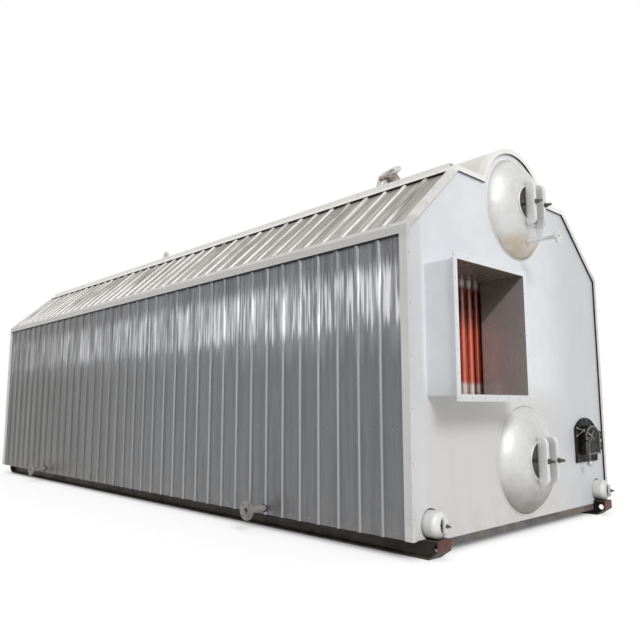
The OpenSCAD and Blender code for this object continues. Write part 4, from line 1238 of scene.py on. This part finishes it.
@dataclass
class EndPanels:
    """Beads round the drum heads, rivets, lap joints of the corner flashings, and dark strips in the
    flashings' gaps as painted shade.
    """

    bead_width: float = 0.018
    rivet: float = 0.012
    rivet_edge: float = 0.030
    rivet_inset: float = 0.100
    seam_rivets: int = 13
    foot_rivets: int = 9
    drum_clear: float = 0.024
    header_clear: float = 0.160
    lap_height: float = 1.270
    lap_long: float = 0.090
    lap_proud: float = 0.0025
    lap_over: float = 0.0005
    lip: float = 0.043
    sheet: float = 0.003
    # Width and lift of the dark strips that stand in for the shadow in the flashings' gaps.
    shadow_fill_wide: float = 0.010
    shadow_fill_lift: float = 0.002

    def build(self, maker: PieceMaker) -> None:
        """Makes the pieces at both ends."""
        beads = [self.head_bead(head, panel, end)
                 for head, panel, end in (("upper_front_head", "front_wall_upper", Direction.FRONT),
                                          ("lower_front_head", "front_wall_lower", Direction.FRONT),
                                          ("upper_rear_head", "rear_wall", Direction.REAR))]
        maker.make(Surface.join(beads), "head_beads", Coat.TRIM, Coat.TRIM)
        maker.make(self.rivets(), "panel_rivets", Coat.PANEL, Coat.PANEL)
        # Dark strips fill the gaps behind the flashings' inner edges as painted shade.
        maker.make(self.gap_shadow_fills(), "flashing_gap_shadows", Coat.FOAM, Coat.TRIM)
        maker.make(self.laps(), "corner_laps", Coat.TRIM, Coat.TRIM)

    def head_bead(self, head: str, panel: str, end: Direction) -> Surface:
        """Sealing bead where a head comes through a panel.

        Args:
            head: CAD node of the head.
            panel: CAD node of the panel.
            end: End of the boiler.

        Returns:
            The closed surface.
        """
        dish = Span.of(head)
        centre = np.array([dish.middle[0], Span.of(panel).outer(end), dish.middle[2]])
        return ring_bead(centre, end.array, dish.size[0] / 2.0, self.bead_width)

    def rivets(self) -> Surface:
        """Rows of rivets under the joint of the front panel's two sheets and along its foot, clear of the
        drum and the headers.

        Returns:
            All the rivets.
        """
        wall, drum, header = Span.of("front_wall_lower"), Span.of("lower_front_head"), Span.of("right_header")
        rows = []
        for height, count in ((wall.high[2] - self.rivet_edge, self.seam_rivets),
                              (wall.low[2] + self.rivet_edge, self.foot_rivets)):
            across = np.linspace(wall.low[0] + self.rivet_inset, wall.high[0] - self.rivet_inset, count)
            rows.append(np.column_stack([across, np.full(count, wall.low[1]), np.full(count, height)]))
        places = np.concatenate(rows)
        from_drum = np.hypot(places[:, 0] - drum.middle[0], places[:, 2] - drum.middle[2])
        from_header = np.hypot(np.abs(places[:, 0]) - header.middle[0], places[:, 2] - header.middle[2])
        clear = (from_drum > drum.size[0] / 2.0 + self.drum_clear) & (from_header > self.header_clear)
        return screw_head(self.rivet).turned(Direction.FRONT.array).copies(places[clear])

    def gap_shadow_fills(self) -> Surface:
        """Dark strips behind the inner edge of both corner flashings: painted shade that fills the gap
        between flashing and panel.

        Along each end the strip follows the inner edge of the flashing's leg: up the corner, along the roof
        slope, along the flat top and over the lagging's arch.

        Returns:
            The closed surfaces of both ends.
        """
        flashing, panel = Span.of("front_flashing"), Span.of("front_wall_upper")
        clad = Cladding()
        inset = self.lip - self.shadow_fill_wide / 2.0
        turn = math.atan2(clad.slope[2], clad.slope[0])
        side = flashing.high[0] - inset
        eave = np.array([side, clad.eave[2] - inset * math.tan(math.pi / 4.0 - turn / 2.0)])
        ridge = np.array([-clad.ridge[0] - inset * math.tan(turn / 2.0), clad.ridge[2] - inset])
        axis = Span.of("upper_front_head").middle[2]
        radius = flashing.high[2] - axis - inset
        foot = math.asin((ridge[1] - axis) / radius)
        arch = np.linspace(foot, math.pi / 2.0, num=24)
        arc = np.stack([radius * np.cos(arch), axis + radius * np.sin(arch)], axis=-1)
        flat = np.concatenate([[[side, flashing.low[2] + self.shadow_fill_lift], eave, ridge], arc])
        deep = panel.low[1] - flashing.low[1] - self.sheet
        middle = panel.low[1] - deep / 2.0
        step = np.gradient(flat, axis=0)
        step /= np.linalg.norm(step, axis=1, keepdims=True)
        out = upright(np.stack([step[:, 1], -step[:, 0]], axis=-1))
        profile = round_profile(self.shadow_fill_wide, deep, power=STRIP_POWER, count=16)
        half = carry(profile, upright(flat, middle), out, Direction.FRONT.array, closed=False)
        ends = Surface.join([half, half.mirrored((-1.0, 1.0, 1.0))])
        return Surface.join([ends, ends.mirrored((1.0, -1.0, 1.0))])

    def laps(self) -> Surface:
        """Sleeves where two lengths of corner flashing overlap, one on each front corner.

        Returns:
            Both sleeves.
        """
        span = Span.of("front_flashing")
        profile = round_profile(self.lip + self.lap_over, self.lap_proud, power=9.0, count=24)
        rise = Direction.UP.array * self.lap_long
        sleeves = []
        for side in (-1.0, 1.0):
            across = side * (span.high[0] - self.lip / 2.0)
            low = np.array([across, span.low[1] - self.lap_proud / 2.0, self.lap_height])
            sleeves.append(straight_bar(low, low + rise, Direction.RIGHT.array, profile))
        return Surface.join(sleeves)


@dataclass
class Cladding:
    """Screws of the ribbed sheets and flashings, the foam closure strips under the flashings, and dark strips
    along their open edges that stand in for shadow.
    """

    rib_height: float = 0.015
    flash_leg: float = 0.062
    flash_thick: float = 0.003
    screw: float = 0.013
    pan_edge: float = 0.030
    wall_rows: tuple[float, ...] = (0.175, 0.90, 1.63, 2.26)
    roof_rows: tuple[float, ...] = (0.22, 0.76)
    trim_first: float = 0.120
    trim_step: float = 0.450
    trim_screw: float = 0.8
    corner_first: float = 0.150
    corner_step: float = 0.380
    corner_in: float = 0.022
    ridge_up: float = 0.038
    closure_deep: float = 0.030
    closure_tall: float = 0.012
    # The foam closures stand out past the flashings' edges as painted shade under them.
    closure_shadow_out: float = 0.008
    # Thin dark strips over the ribs at the flashings' edges: painted shade of the gap under them.
    shadow_strip_wide: float = 0.012
    shadow_strip_thick: float = 0.002
    strip_end: float = 0.002

    def __post_init__(self) -> None:
        """Reads the left side's edges from the frame: eave and ridge, and the roof's slope and normal."""
        wall = Span.of("left_wall")
        eave = Span.of("left_eave_flashing")
        ridge = Span.of("left_ridge_flashing")
        self.front = Span.of("front_wall_upper").low[1]
        self.low_y, self.high_y = wall.low[1], wall.high[1]
        self.pan = wall.low[0] + self.rib_height
        self.eave = np.array([eave.low[0], 0.0, eave.low[2] + self.flash_leg])
        self.ridge = np.array([ridge.high[0] - self.flash_leg, 0.0, ridge.high[2] - self.ridge_up])
        self.slope_long = np.linalg.norm(self.ridge - self.eave)
        self.slope = (self.ridge - self.eave) / self.slope_long
        self.normal = np.array([-self.slope[2], 0.0, self.slope[0]])

    def build(self, maker: PieceMaker) -> None:
        """Makes the pieces on both sides."""
        for name, side in (("left", -1.0), ("right", 1.0)):
            signs = (-side, 1.0, 1.0)
            maker.make(self.wall_screws().mirrored(signs), f"{name}_wall_screws", Coat.STEEL, Coat.STEEL)
            maker.make(self.roof_screws().mirrored(signs), f"{name}_roof_screws", Coat.ROOF, Coat.ROOF)
            maker.make(self.trim_screws().mirrored(signs), f"{name}_trim_screws", Coat.STEEL, Coat.STEEL)
            # Foam closures, partly standing out as painted shade, and dark strips of painted shade over the
            # ribs.
            maker.make(self.closures_and_shadow_strips().mirrored(signs), f"{name}_closures", Coat.FOAM, Coat.TRIM)

    def pan_middles(self) -> np.ndarray:
        """Y of the flat pans' middles between the ribs.

        Returns:
            The middles from front to rear.
        """
        first = self.front + RIB_FIRST + RIB_PITCH / 2.0
        middles = np.arange(first, -self.front, RIB_PITCH)
        return middles[(middles > self.low_y + self.pan_edge) & (middles < self.high_y - self.pan_edge)]

    def wall_screws(self) -> Surface:
        """Rows of screws in the pans of the left wall.

        Returns:
            All the screws.
        """
        along, high = np.meshgrid(self.pan_middles(), np.array(self.wall_rows), indexing="ij")
        places = np.column_stack([np.full(along.size, self.pan), along.ravel(), high.ravel()])
        return screw_head(self.screw).turned(Direction.LEFT.array).copies(places)

    def roof_screws(self) -> Surface:
        """Two rows of screws in the pans of the left roof slope.

        Returns:
            All the screws.
        """
        foot = self.eave - self.normal * (self.rib_height + self.flash_thick)
        rows = np.array(self.roof_rows) * self.slope_long
        along, share = np.meshgrid(self.pan_middles(), rows, indexing="ij")
        places = foot + share.ravel()[:, None] * self.slope + along.ravel()[:, None] * Direction.REAR.array
        return screw_head(self.screw).turned(self.normal).copies(places)

    def trim_screws(self) -> Surface:
        """Screws along both legs of the eave and ridge flashings and down the front and rear corners.

        Returns:
            All the screws.
        """
        up, right = Direction.UP.array, Direction.RIGHT.array
        along = np.arange(self.low_y + self.trim_first, self.high_y, self.trim_step)
        rear = along[:, None] * Direction.REAR.array
        half = self.flash_leg / 2.0
        sides = [
            (-right, rear + self.eave - up * half),
            (self.normal, rear + self.eave + self.slope * half),
            (self.normal, rear + self.ridge - self.slope * half),
            (up, rear + self.ridge + right * half + up * self.ridge_up),
        ]
        corner = Span.of("front_flashing")
        heights = np.arange(corner.low[2] + self.corner_first, self.eave[2], self.corner_step)
        for end, face in ((Direction.FRONT, corner.low[1]), (Direction.REAR, -corner.low[1])):
            place = np.array([corner.low[0] + self.corner_in, face, 0.0])
            sides.append((end.array, place + heights[:, None] * up))
        small = screw_head(self.screw * self.trim_screw)
        return Surface.join([small.turned(axis).copies(places) for axis, places in sides])

    def closures_and_shadow_strips(self) -> Surface:
        """Foam strips between pans and flashings, standing out past the flashings' edges, and thin dark
        strips over the ribs along the open edges: painted shade of the gap under the flashings.

        Returns:
            All the strips of the left side.
        """
        up, right, down = Direction.UP.array, Direction.RIGHT.array, Direction.DOWN.array
        foam = round_profile(self.closure_deep, self.closure_tall, power=STRIP_POWER, count=16)
        foam_in = self.flash_leg + self.closure_shadow_out - self.closure_deep / 2.0
        foam_sunk = self.flash_thick + self.rib_height - self.closure_tall / 2.0
        shadow_strip = round_profile(self.shadow_strip_wide, self.shadow_strip_thick, power=STRIP_POWER, count=16)
        shadow_strip_in = self.flash_leg + self.shadow_strip_wide / 2.0
        shadow_strip_sunk = self.flash_thick - self.shadow_strip_thick / 2.0
        strips = [
            (self.eave - up * foam_in + right * foam_sunk, down, foam),
            (self.eave + self.slope * foam_in - self.normal * foam_sunk, self.slope, foam),
            (self.ridge - self.slope * foam_in - self.normal * foam_sunk, self.slope, foam),
            (self.eave - up * shadow_strip_in + right * shadow_strip_sunk, down, shadow_strip),
            (self.ridge - self.slope * shadow_strip_in - self.normal * shadow_strip_sunk, self.slope, shadow_strip),
        ]
        start = (self.low_y + self.strip_end) * Direction.REAR.array
        end = (self.high_y - self.strip_end) * Direction.REAR.array
        return Surface.join([straight_bar(place + start, place + end, out, profile)
                             for place, out, profile in strips])


@dataclass
class FlueOutlet:
    """Sheet lining inside the flue and the weld along the duct's root."""

    lining: float = 0.001
    plate: float = 0.006
    weld: float = 0.010
    set_back: float = 0.0005

    def build(self, maker: PieceMaker) -> None:
        """Makes the pieces."""
        duct, wall = Span.of("flue_duct"), Span.of("front_wall_upper")
        start = Span.of("flue_flange").low[1] + self.set_back
        sides = [self.side(duct, sign, axis, start) for sign in (-1.0, 1.0) for axis in (0, 2)]
        maker.make(Surface.join(sides), "flue_lining", Coat.LINER, Coat.PANEL)
        maker.make(self.root_weld(duct, wall.low[1]), "flue_root_weld", Coat.PANEL, Coat.PANEL)

    def side(self, duct: Span, sign: float, axis: int, start: float) -> Surface:
        """One thin sheet against an inner side of the duct.

        Args:
            duct: Box of the duct.
            sign: Which of the two opposite sides.
            axis: 0 for the upright sides, 2 for the floor and ceiling.
            start: Y of the sheet's front edge.

        Returns:
            The closed surface.
        """
        inside = duct.size - 2.0 * self.plate
        out = np.eye(3)[axis] * sign
        centre = duct.middle + out * (inside[axis] / 2.0 - self.lining / 2.0)
        profile = round_profile(self.lining, inside[2 - axis], power=SHARP_POWER, count=16)
        ends = [np.array([centre[0], y, centre[2]]) for y in (start, duct.high[1])]
        return straight_bar(ends[0], ends[1], out, profile)

    def root_weld(self, duct: Span, face: float) -> Surface:
        """Fillet bead along the duct's outline where it leaves the panel.

        Args:
            duct: Box of the duct.
            face: Y of the panel's face.

        Returns:
            The four beads.
        """
        corners = np.array([[duct.low[0], face, duct.low[2]], [duct.high[0], face, duct.low[2]],
                            [duct.high[0], face, duct.high[2]], [duct.low[0], face, duct.high[2]]])
        bead = round_profile(self.weld, self.weld, count=8)
        return Surface.join([straight_bar(start, end, Direction.FRONT.array, bead)
                             for start, end in zip(corners, np.roll(corners, -1, axis=0))])


@dataclass
class TubeBank:
    """The tube rows behind the front row, bent as it is."""

    rows: int = 4
    row_pitch: float = 0.110
    tube: float = 0.051
    pitch: float = 0.110
    count: int = 9
    bend: float = 0.130
    first_angle: float = 85.0
    angle_step: float = 10.0

    def build(self, maker: PieceMaker) -> None:
        """Makes all the further rows as one piece."""
        front = Span.of("left_tubes").middle[1]
        upper, lower = Span.of("upper_drum_shell"), Span.of("lower_drum_shell")
        radius = lower.size[0] / 2.0
        heights = lower.middle[2], upper.middle[2]
        right = Surface.join([
            self.bent_tube((i + 0.5) * self.pitch, math.radians(self.first_angle - i * self.angle_step),
                           radius, heights)
            for i in range(self.count)])
        pair = Surface.join([right, right.mirrored((-1.0, 1.0, 1.0))])
        steps = front + self.row_pitch * np.arange(1, self.rows + 1)
        rows = pair.copies(steps[:, None] * Direction.REAR.array)
        maker.make(rows, "tube_rows_behind", Coat.PRIMER, Coat.PRIMER)

    def bent_tube(self, x: float, angle: float, radius: float, heights: tuple[float, float]) -> Surface:
        """One tube from drum to drum, upright at x between its two bends.

        The lower half of the path is a radial leg and an arc that ends upright, the upper half is its
        mirror image, and a circle is carried along the path.

        Args:
            x: Distance of the upright length from the middle.
            angle: Angle of the radial leg over the horizontal.
            radius: Outside radius of the drums.
            heights: Heights of the lower and upper drum's axis.

        Returns:
            The capped surface.
        """
        turn = math.pi / 2.0 - angle
        tangent = self.bend * math.tan(turn / 2.0)
        reach = np.array([radius, x / math.cos(angle) - tangent])
        leg = reach[:, None] * np.array([math.cos(angle), math.sin(angle)])
        sweep = np.linspace(-turn, 0.0, num=7)[1:]
        centre = np.array([x - self.bend, x * math.tan(angle) + tangent])
        arc = centre + self.bend * np.stack([np.cos(sweep), np.sin(sweep)], axis=-1)
        foot = np.concatenate([leg, arc])
        heading = np.concatenate([[angle, angle], sweep + math.pi / 2.0])
        low = foot + np.array([0.0, heights[0]])
        high = foot[::-1] * np.array([1.0, -1.0]) + np.array([0.0, heights[1]])
        line = np.concatenate([low, high])
        way = np.concatenate([heading, math.pi - heading[::-1]])
        out = upright(np.stack([np.sin(way), -np.cos(way)], axis=-1))
        section = round_profile(self.tube, self.tube, count=12)
        return carry(section, upright(line), out, Direction.REAR.array, closed=False)


@dataclass
class FireDoor:
    """Raised rims, fingers, catch struts and studs of the cast fire door and its frame."""

    leaf_deep: float = 0.052
    leaf_rise: float = 0.070
    eye: float = 0.040
    eye_off: float = 0.045
    rim: float = 0.018
    rim_proud: float = 0.007
    plate_wide: float = 0.453
    plate_thick: float = 0.018
    plate_rise: float = 0.100
    plate_rim: tuple[float, float] = (0.016, 0.012)
    plate_inset: float = 0.010
    strut: float = 0.014
    boss: float = 0.024
    boss_sink: float = 0.012
    finger_deep: float = 1.3
    finger_slim: float = 0.8
    finger_root: Triple = (0.017, -0.010, 0.070)
    finger_fork: Triple = (0.090, 0.0, -0.024)
    finger_lap: Triple = (-0.006, 0.0, 0.0)
    finger_tips: tuple[Triple, ...] = ((0.052, 0.0, 0.044), (0.060, 0.0, -0.050), (-0.010, 0.0, -0.062))
    catch_meet: Triple = (-0.023, 0.006, 0.095)
    catch_feet: tuple[tuple[float, float], ...] = ((0.020, 0.022), (0.016, -0.052))
    foot_proud: float = 0.002
    stud_edge: float = 0.022
    shoulder_drop: float = 0.140
    nut_across: float = 0.019
    nut_height: float = 0.009
    stud: float = 0.010

    def build(self, maker: PieceMaker) -> None:
        """Makes the pieces."""
        leaf, plate = self.leaf_box(), self.plate_box()
        # The rim, fingers and catch struts take lighter finishes than the black casting: worn metal, and
        # partly painted highlight on the cast edges.
        maker.make(self.leaf_rim(leaf), "door_rim", Coat.BOLT, Coat.CASTING, FIRE_DOOR)
        maker.make(self.fingers(leaf), "door_fingers", Coat.LEVER, Coat.CASTING, FIRE_DOOR)
        maker.make(self.struts(leaf, plate), "door_catch_struts", Coat.LEVER, Coat.CASTING)
        maker.make(self.frame_rim(plate), "door_frame_rim", Coat.CASTING, Coat.CASTING)
        maker.make(self.frame_studs(plate), "door_frame_studs", Coat.BOLT, Coat.STEEL)

    def leaf_box(self) -> Span:
        """Box of the leaf's hollow body alone, without its eyes and latch pin.

        Returns:
            The box at rest.
        """
        leaf = Span.of("door_leaf")
        right = leaf.high[0] - self.eye / 2.0 - self.eye_off
        low = np.array([leaf.low[0], leaf.high[1] - self.leaf_deep, leaf.low[2]])
        return Span(low, np.array([right, leaf.high[1], leaf.high[2]]))

    def plate_box(self) -> Span:
        """Box of the frame's plate alone, without its hinge arms and rest.

        Returns:
            The box.
        """
        plate, middle = Span.of("door_frame"), self.leaf_box().middle[0]
        half = self.plate_wide / 2.0
        return Span(np.array([middle - half, plate.high[1] - self.plate_thick, plate.low[2]]),
                    np.array([middle + half, plate.high[1], plate.high[2]]))

    @staticmethod
    def arch_path(box: Span, rise: float, inset: float) -> tuple[np.ndarray, np.ndarray]:
        """Closed path along an arched outline in X and Z.

        Straight sides run from the sill to the springing, and the top is the arc whose radius follows from
        its span and rise.

        Args:
            box: Box of the outline.
            rise: Rise of the arch.
            inset: Distance of the path inside the outline.

        Returns:
            Path points and outward unit vectors, as arrays of X and Z.
        """
        arc_points, side_points, sill_points = 25, 5, 6
        half = box.size[0] / 2.0 - inset
        low, top = box.low[2] + inset, box.high[2] - inset
        arch = (half ** 2 + rise ** 2) / (2.0 * rise)
        spread = math.asin(half / arch)
        swing = np.linspace(spread, -spread, arc_points)
        arc = np.stack([arch * np.sin(swing), top - arch + arch * np.cos(swing)], axis=-1)
        sides = np.linspace(low, top - rise, side_points, endpoint=False)
        right = np.stack([np.full(side_points, half), sides], axis=-1)
        left = np.stack([np.full(side_points, -half), sides[::-1]], axis=-1)
        across = np.linspace(-half, half, sill_points + 2)[1:-1]
        sill = np.stack([across, np.full(sill_points, low)], axis=-1)
        flat = np.concatenate([right, arc, left, sill])
        step = np.roll(flat, -1, axis=0) - np.roll(flat, 1, axis=0)
        step /= np.linalg.norm(step, axis=1, keepdims=True)
        outward = np.stack([step[:, 1], -step[:, 0]], axis=-1)
        return flat + np.array([box.middle[0], 0.0]), outward

    def outline_bead(self, box: Span, rise: float, inset: float, profile: np.ndarray) -> Surface:
        """A profile carried round an arched outline on the front of a box.

        Args:
            box: Box of the outline.
            rise: Rise of the arch.
            inset: Distance of the path inside the outline.
            profile: Closed outline, its first coordinate outwards and its second to the front.

        Returns:
            The closed surface.
        """
        flat, outward = self.arch_path(box, rise, inset)
        path = upright(flat, box.low[1])
        return carry(profile, path, upright(outward), Direction.FRONT.array, closed=True)

    def leaf_rim(self, leaf: Span) -> Surface:
        """Thick rounded rim round the leaf's front."""
        profile = round_profile(self.rim, 2.0 * self.rim_proud, power=3.0, count=14)
        return self.outline_bead(leaf, self.leaf_rise, self.rim / 2.0, profile)

    def frame_rim(self, plate: Span) -> Surface:
        """Rounded edge round the frame plate."""
        profile = round_profile(*self.plate_rim, power=2.5, count=12)
        return self.outline_bead(plate, self.plate_rise, self.plate_inset, profile)

    def fingers(self, leaf: Span) -> Surface:
        """Cast fingers that fork over the leaf's front from its free edge, and a boss at their root.

        Args:
            leaf: Box of the leaf.

        Returns:
            The closed surfaces.
        """
        front = Direction.FRONT.array
        root = np.array([leaf.low[0], leaf.low[1], leaf.middle[2]]) + np.array(self.finger_root)
        fork = root + np.array(self.finger_fork)
        flat = round_profile(self.strut, self.strut * self.finger_deep, power=4.0, count=16)
        bars = [straight_bar(root, fork, front, flat)]
        for tip in self.finger_tips:
            bars.append(straight_bar(fork + np.array(self.finger_lap), fork + np.array(tip), front,
                                     flat * self.finger_slim))
        knob = revolve(np.array([[0.5, 0.0], [0.5, 0.7], [0.36, 0.95]]) * self.boss, sides=24)
        bars.append(knob.turned(front).moved(root - front * self.boss_sink))
        return Surface.join(bars)

    def struts(self, leaf: Span, plate: Span) -> Surface:
        """Two struts of the catch on the frame, which meet in front of it beside the leaf's free edge.

        Args:
            leaf: Box of the leaf.
            plate: Box of the frame's plate.

        Returns:
            The struts, the eye where they meet and the pads at their feet.
        """
        meet = np.array([leaf.low[0], leaf.low[1], leaf.middle[2]]) + np.array(self.catch_meet)
        flat = round_profile(self.strut, self.strut, power=3.0, count=14)
        feet = [np.array([plate.low[0] + across, plate.low[1] - self.foot_proud, meet[2] + lift])
                for across, lift in self.catch_feet]
        bars = [straight_bar(foot, meet, Direction.UP.array, flat) for foot in feet]
        eye = revolve(np.array([[0.45, -0.5], [0.5, -0.4], [0.5, 0.4], [0.45, 0.5]]) * self.boss, sides=20)
        bars.append(eye.moved(meet))
        pad = revolve(np.array([[0.5, 0.0], [0.5, 0.25], [0.35, 0.4]]) * self.boss, sides=20)
        bars.extend(pad.turned(Direction.FRONT.array).moved(foot) for foot in feet)
        return Surface.join(bars)

    def frame_studs(self, plate: Span) -> Surface:
        """Nuts at the frame's lower corners, its left shoulder and its crown.

        Args:
            plate: Box of the frame's plate.

        Returns:
            All the nuts.
        """
        left, right = plate.low[0] + self.stud_edge, plate.high[0] - self.stud_edge
        foot, crown = plate.low[2] + self.stud_edge, plate.high[2] - self.stud_edge
        spots = ((left, foot), (right, foot), (left, plate.high[2] - self.shoulder_drop),
                 (plate.middle[0], crown))
        places = np.array([[x, plate.low[1], z] for x, z in spots])
        nut = hex_nut(self.nut_across, self.nut_height, self.stud)
        return nut.turned(Direction.FRONT.array).copies(places)


@dataclass
class Nozzles:
    """Weld beads of the head nozzles and the drains' flanges, and the drains' collars in the walls."""

    weld: float = 0.012
    neck_radius: float = 0.018
    neck_back: float = 0.018
    neck_weld: float = 0.7
    neck_ripples: int = 14
    flange_wide: float = 0.165
    flange_back: float = 0.018
    drain_radius: float = 0.030
    drain_weld: float = 0.8
    drain_ripples: int = 24
    collar_radius: float = 0.034
    collar_width: float = 0.014
    collar_in: float = 0.016

    def build(self, maker: PieceMaker) -> None:
        """Makes the pieces."""
        collars = self.drain_rings(-Span.of("left_wall").low[0] - self.collar_in, self.collar_radius,
                                   self.collar_width)
        welds = self.drain_rings(-Span.of("left_drains").low[0] - self.flange_back, self.drain_radius,
                                 self.weld * self.drain_weld, self.drain_ripples)
        maker.make(self.head_welds(), "head_nozzle_welds", Coat.SILVER, Coat.SILVER)
        maker.make(collars, "drain_collars", Coat.FOAM, Coat.NOZZLE)
        maker.make(welds, "flange_welds", Coat.NOZZLE, Coat.NOZZLE)

    def head_welds(self) -> Surface:
        """Rippled beads round each head nozzle, one on the head's outside and one behind the flange.

        Returns:
            All the beads.
        """
        beads = []
        for node, head, end in (("front_head_nozzle", "upper_front_head", Direction.FRONT),
                                ("rear_head_nozzle", "upper_rear_head", Direction.REAR)):
            pipe, dish = Span.of(node), Span.of(head)
            face = head_face(dish, end, dish.middle[2] - pipe.middle[2])
            neck = pipe.outer(end) - end.value[1] * self.neck_back
            for y, width in ((face, self.weld), (neck, self.weld * self.neck_weld)):
                centre = np.array([pipe.middle[0], y, pipe.middle[2]])
                beads.append(ring_bead(centre, end.array, self.neck_radius, width, self.neck_ripples))
        return Surface.join(beads)

    def drain_rings(self, reach: float, radius: float, width: float, ripples: int = 0) -> Surface:
        """One ring round each of the four drains.

        Args:
            reach: Distance of the rings from the boiler's middle.
            radius: Radius of each ring.
            width: Width of its bead.
            ripples: Number of weld ripples, or 0 for a plain bead.

        Returns:
            The four rings.
        """
        flange = Span.of("left_drains")
        half = self.flange_wide / 2.0
        rings = []
        for side in (Direction.LEFT, Direction.RIGHT):
            for y in (flange.low[1] + half, flange.high[1] - half):
                centre = side.array * reach + np.array([0.0, y, flange.middle[2]])
                rings.append(ring_bead(centre, side.array, radius, width, ripples))
        return Surface.join(rings)


@dataclass
class Studio:
    """Camera at the photograph's view, a pale floor, soft lamps and a white surrounding."""

    eye: Triple = (-5.175, -7.153, 1.064)
    yaw_deg: float = 43.40
    pitch_deg: float = 7.79
    roll_deg: float = -0.157
    lens_mm: float = 35.84
    sensor_mm: float = 36.0
    clip_end: float = 2000.0
    floor_half: float = 400.0
    floor_grey: float = 0.80
    floor_glow: float = 0.45
    shade_edge: float = 0.25
    sky: float = 0.46
    key: float = 1.50
    key_way: Triple = (0.45, 1.0, -0.70)
    key_spread: float = 22.0
    top: float = 0.20
    top_way: Triple = (0.1, 0.1, -1.0)
    top_spread: float = 120.0

    def build(self) -> None:
        """Makes the camera, floor, lamps and world."""
        self.camera()
        self.floor()
        self.sun("front_key", self.key_way, self.key, self.key_spread)
        self.sun("top_fill", self.top_way, self.top, self.top_spread)
        self.world()
        bpy.context.scene.view_settings.view_transform = "Standard"

    def camera(self) -> None:
        """Camera from its place, yaw from +Y to +X, pitch and roll."""
        yaw, pitch, roll = (math.radians(a) for a in (self.yaw_deg, self.pitch_deg, self.roll_deg))
        ahead = Vector((math.sin(yaw) * math.cos(pitch), math.cos(yaw) * math.cos(pitch), math.sin(pitch)))
        level = Vector((math.cos(yaw), -math.sin(yaw), 0.0))
        over = level.cross(ahead)
        right = level * math.cos(roll) + over * math.sin(roll)
        up = over * math.cos(roll) - level * math.sin(roll)
        turn = Matrix((right, up, -ahead)).transposed().to_4x4()
        data = bpy.data.cameras.new("photo_view")
        data.sensor_width = self.sensor_mm
        data.lens = self.lens_mm
        data.clip_end = self.clip_end
        eye = add_object("photo_view", data)
        eye.matrix_world = Matrix.Translation(self.eye) @ turn
        bpy.context.scene.camera = eye

    def floor(self) -> None:
        """Pale floor that looks nearly white to the camera and keeps the shadow."""
        half = self.floor_half
        mesh = bpy.data.meshes.new("floor")
        mesh.from_pydata([(-half, -half, 0.0), (half, -half, 0.0), (half, half, 0.0), (-half, half, 0.0)], [],
                         [(0, 1, 2, 3)])
        paint = bpy.data.materials.new("pale_floor")
        wiring = Wiring.fresh(paint)
        matt = wiring.node("ShaderNodeBsdfDiffuse", Color=(self.floor_grey,) * 3)
        share = wiring.math("MULTIPLY", self.seen(wiring), self.outside(wiring))
        glow = wiring.node("ShaderNodeEmission", Color=(1.0, 1.0, 1.0),
                           Strength=wiring.math("MULTIPLY", share, self.floor_glow))
        both = wiring.node("ShaderNodeAddShader")
        wiring.feed(both.inputs[0], matt.outputs[0])
        wiring.feed(both.inputs[1], glow.outputs[0])
        wiring.node("ShaderNodeOutputMaterial", Surface=both.outputs[0])
        mesh.materials.append(paint)
        ground = add_object("floor", mesh)

    def outside(self, wiring: Wiring) -> bpy.types.NodeSocket:
        """Mask of the ground around the casing: the ground that it covers stays in the dark.

        Args:
            wiring: The floor material's wiring.

        Returns:
            Socket that gives 0 under the casing and 1 around it.
        """
        casing = Span.of("front_flashing")
        place = wiring.node("ShaderNodeTexCoord").outputs["Object"]
        axes = wiring.node("ShaderNodeSeparateXYZ", Vector=place)
        far = []
        for axis, half in (("X", float(casing.high[0])), ("Y", float(-casing.low[1]))):
            off_middle = wiring.math("ABSOLUTE", axes.outputs[axis])
            far.append(wiring.smooth(off_middle, half - self.shade_edge, half))
        return wiring.math("MAXIMUM", *far)

    @staticmethod
    def seen(wiring: Wiring) -> bpy.types.NodeSocket:
        """Tells the rays that show the background: camera, glossy and transmission rays.

        Args:
            wiring: Wiring of the floor or the world.

        Returns:
            Socket that gives 1 for those rays and 0 for others.
        """
        path = wiring.node("ShaderNodeLightPath")
        glossy = wiring.math("MAXIMUM", path.outputs["Is Glossy Ray"], path.outputs["Is Transmission Ray"])
        return wiring.math("MAXIMUM", path.outputs["Is Camera Ray"], glossy)

    @staticmethod
    def sun(name: str, way: Triple, strength: float, spread_deg: float) -> None:
        """A soft far lamp.

        Args:
            name: Name of the lamp.
            way: Direction that it shines along.
            strength: Its strength.
            spread_deg: Angle that it takes up in the sky.
        """
        data = bpy.data.lights.new(name, "SUN")
        data.energy = strength
        data.angle = math.radians(spread_deg)
        lamp = add_object(name, data)
        lamp.rotation_mode = "QUATERNION"
        lamp.rotation_quaternion = Vector(way).to_track_quat("-Z", "Y")

    def world(self) -> None:
        """White to the camera and in reflections, a plain grey light otherwise."""
        sky = bpy.data.worlds.new("studio")
        wiring = Wiring.fresh(sky)
        strength = wiring.node("ShaderNodeMapRange", Value=self.seen(wiring))
        wiring.feed(strength.inputs["To Min"], self.sky)
        wiring.feed(strength.inputs["To Max"], 1.0)
        light = wiring.node("ShaderNodeBackground", Color=(1.0, 1.0, 1.0), Strength=strength.outputs[0])
        wiring.node("ShaderNodeOutputWorld", Surface=light.outputs[0])
        bpy.context.scene.world = sky


def main() -> None:
    """Paints the CAD nodes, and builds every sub-assembly and the studio."""
    logging.basicConfig(level=logging.INFO, format="%(name)s %(message)s")
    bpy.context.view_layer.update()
    shop = PaintShop()
    shop.paint_nodes()
    maker = PieceMaker(shop)
    assemblies = [
        Manhole("upper_front_head", "upper_front_yokes", Direction.FRONT),
        Manhole("lower_front_head", "lower_yokes", Direction.FRONT),
        Manhole("upper_rear_head", "upper_rear_yokes", Direction.REAR),
        HandHoles(), EndPanels(), Cladding(), FlueOutlet(), TubeBank(), FireDoor(), Nozzles(),
    ]
    for assembly in assemblies:
        assembly.build(maker)
    Studio().build()


if __name__ == "__main__":
    main()
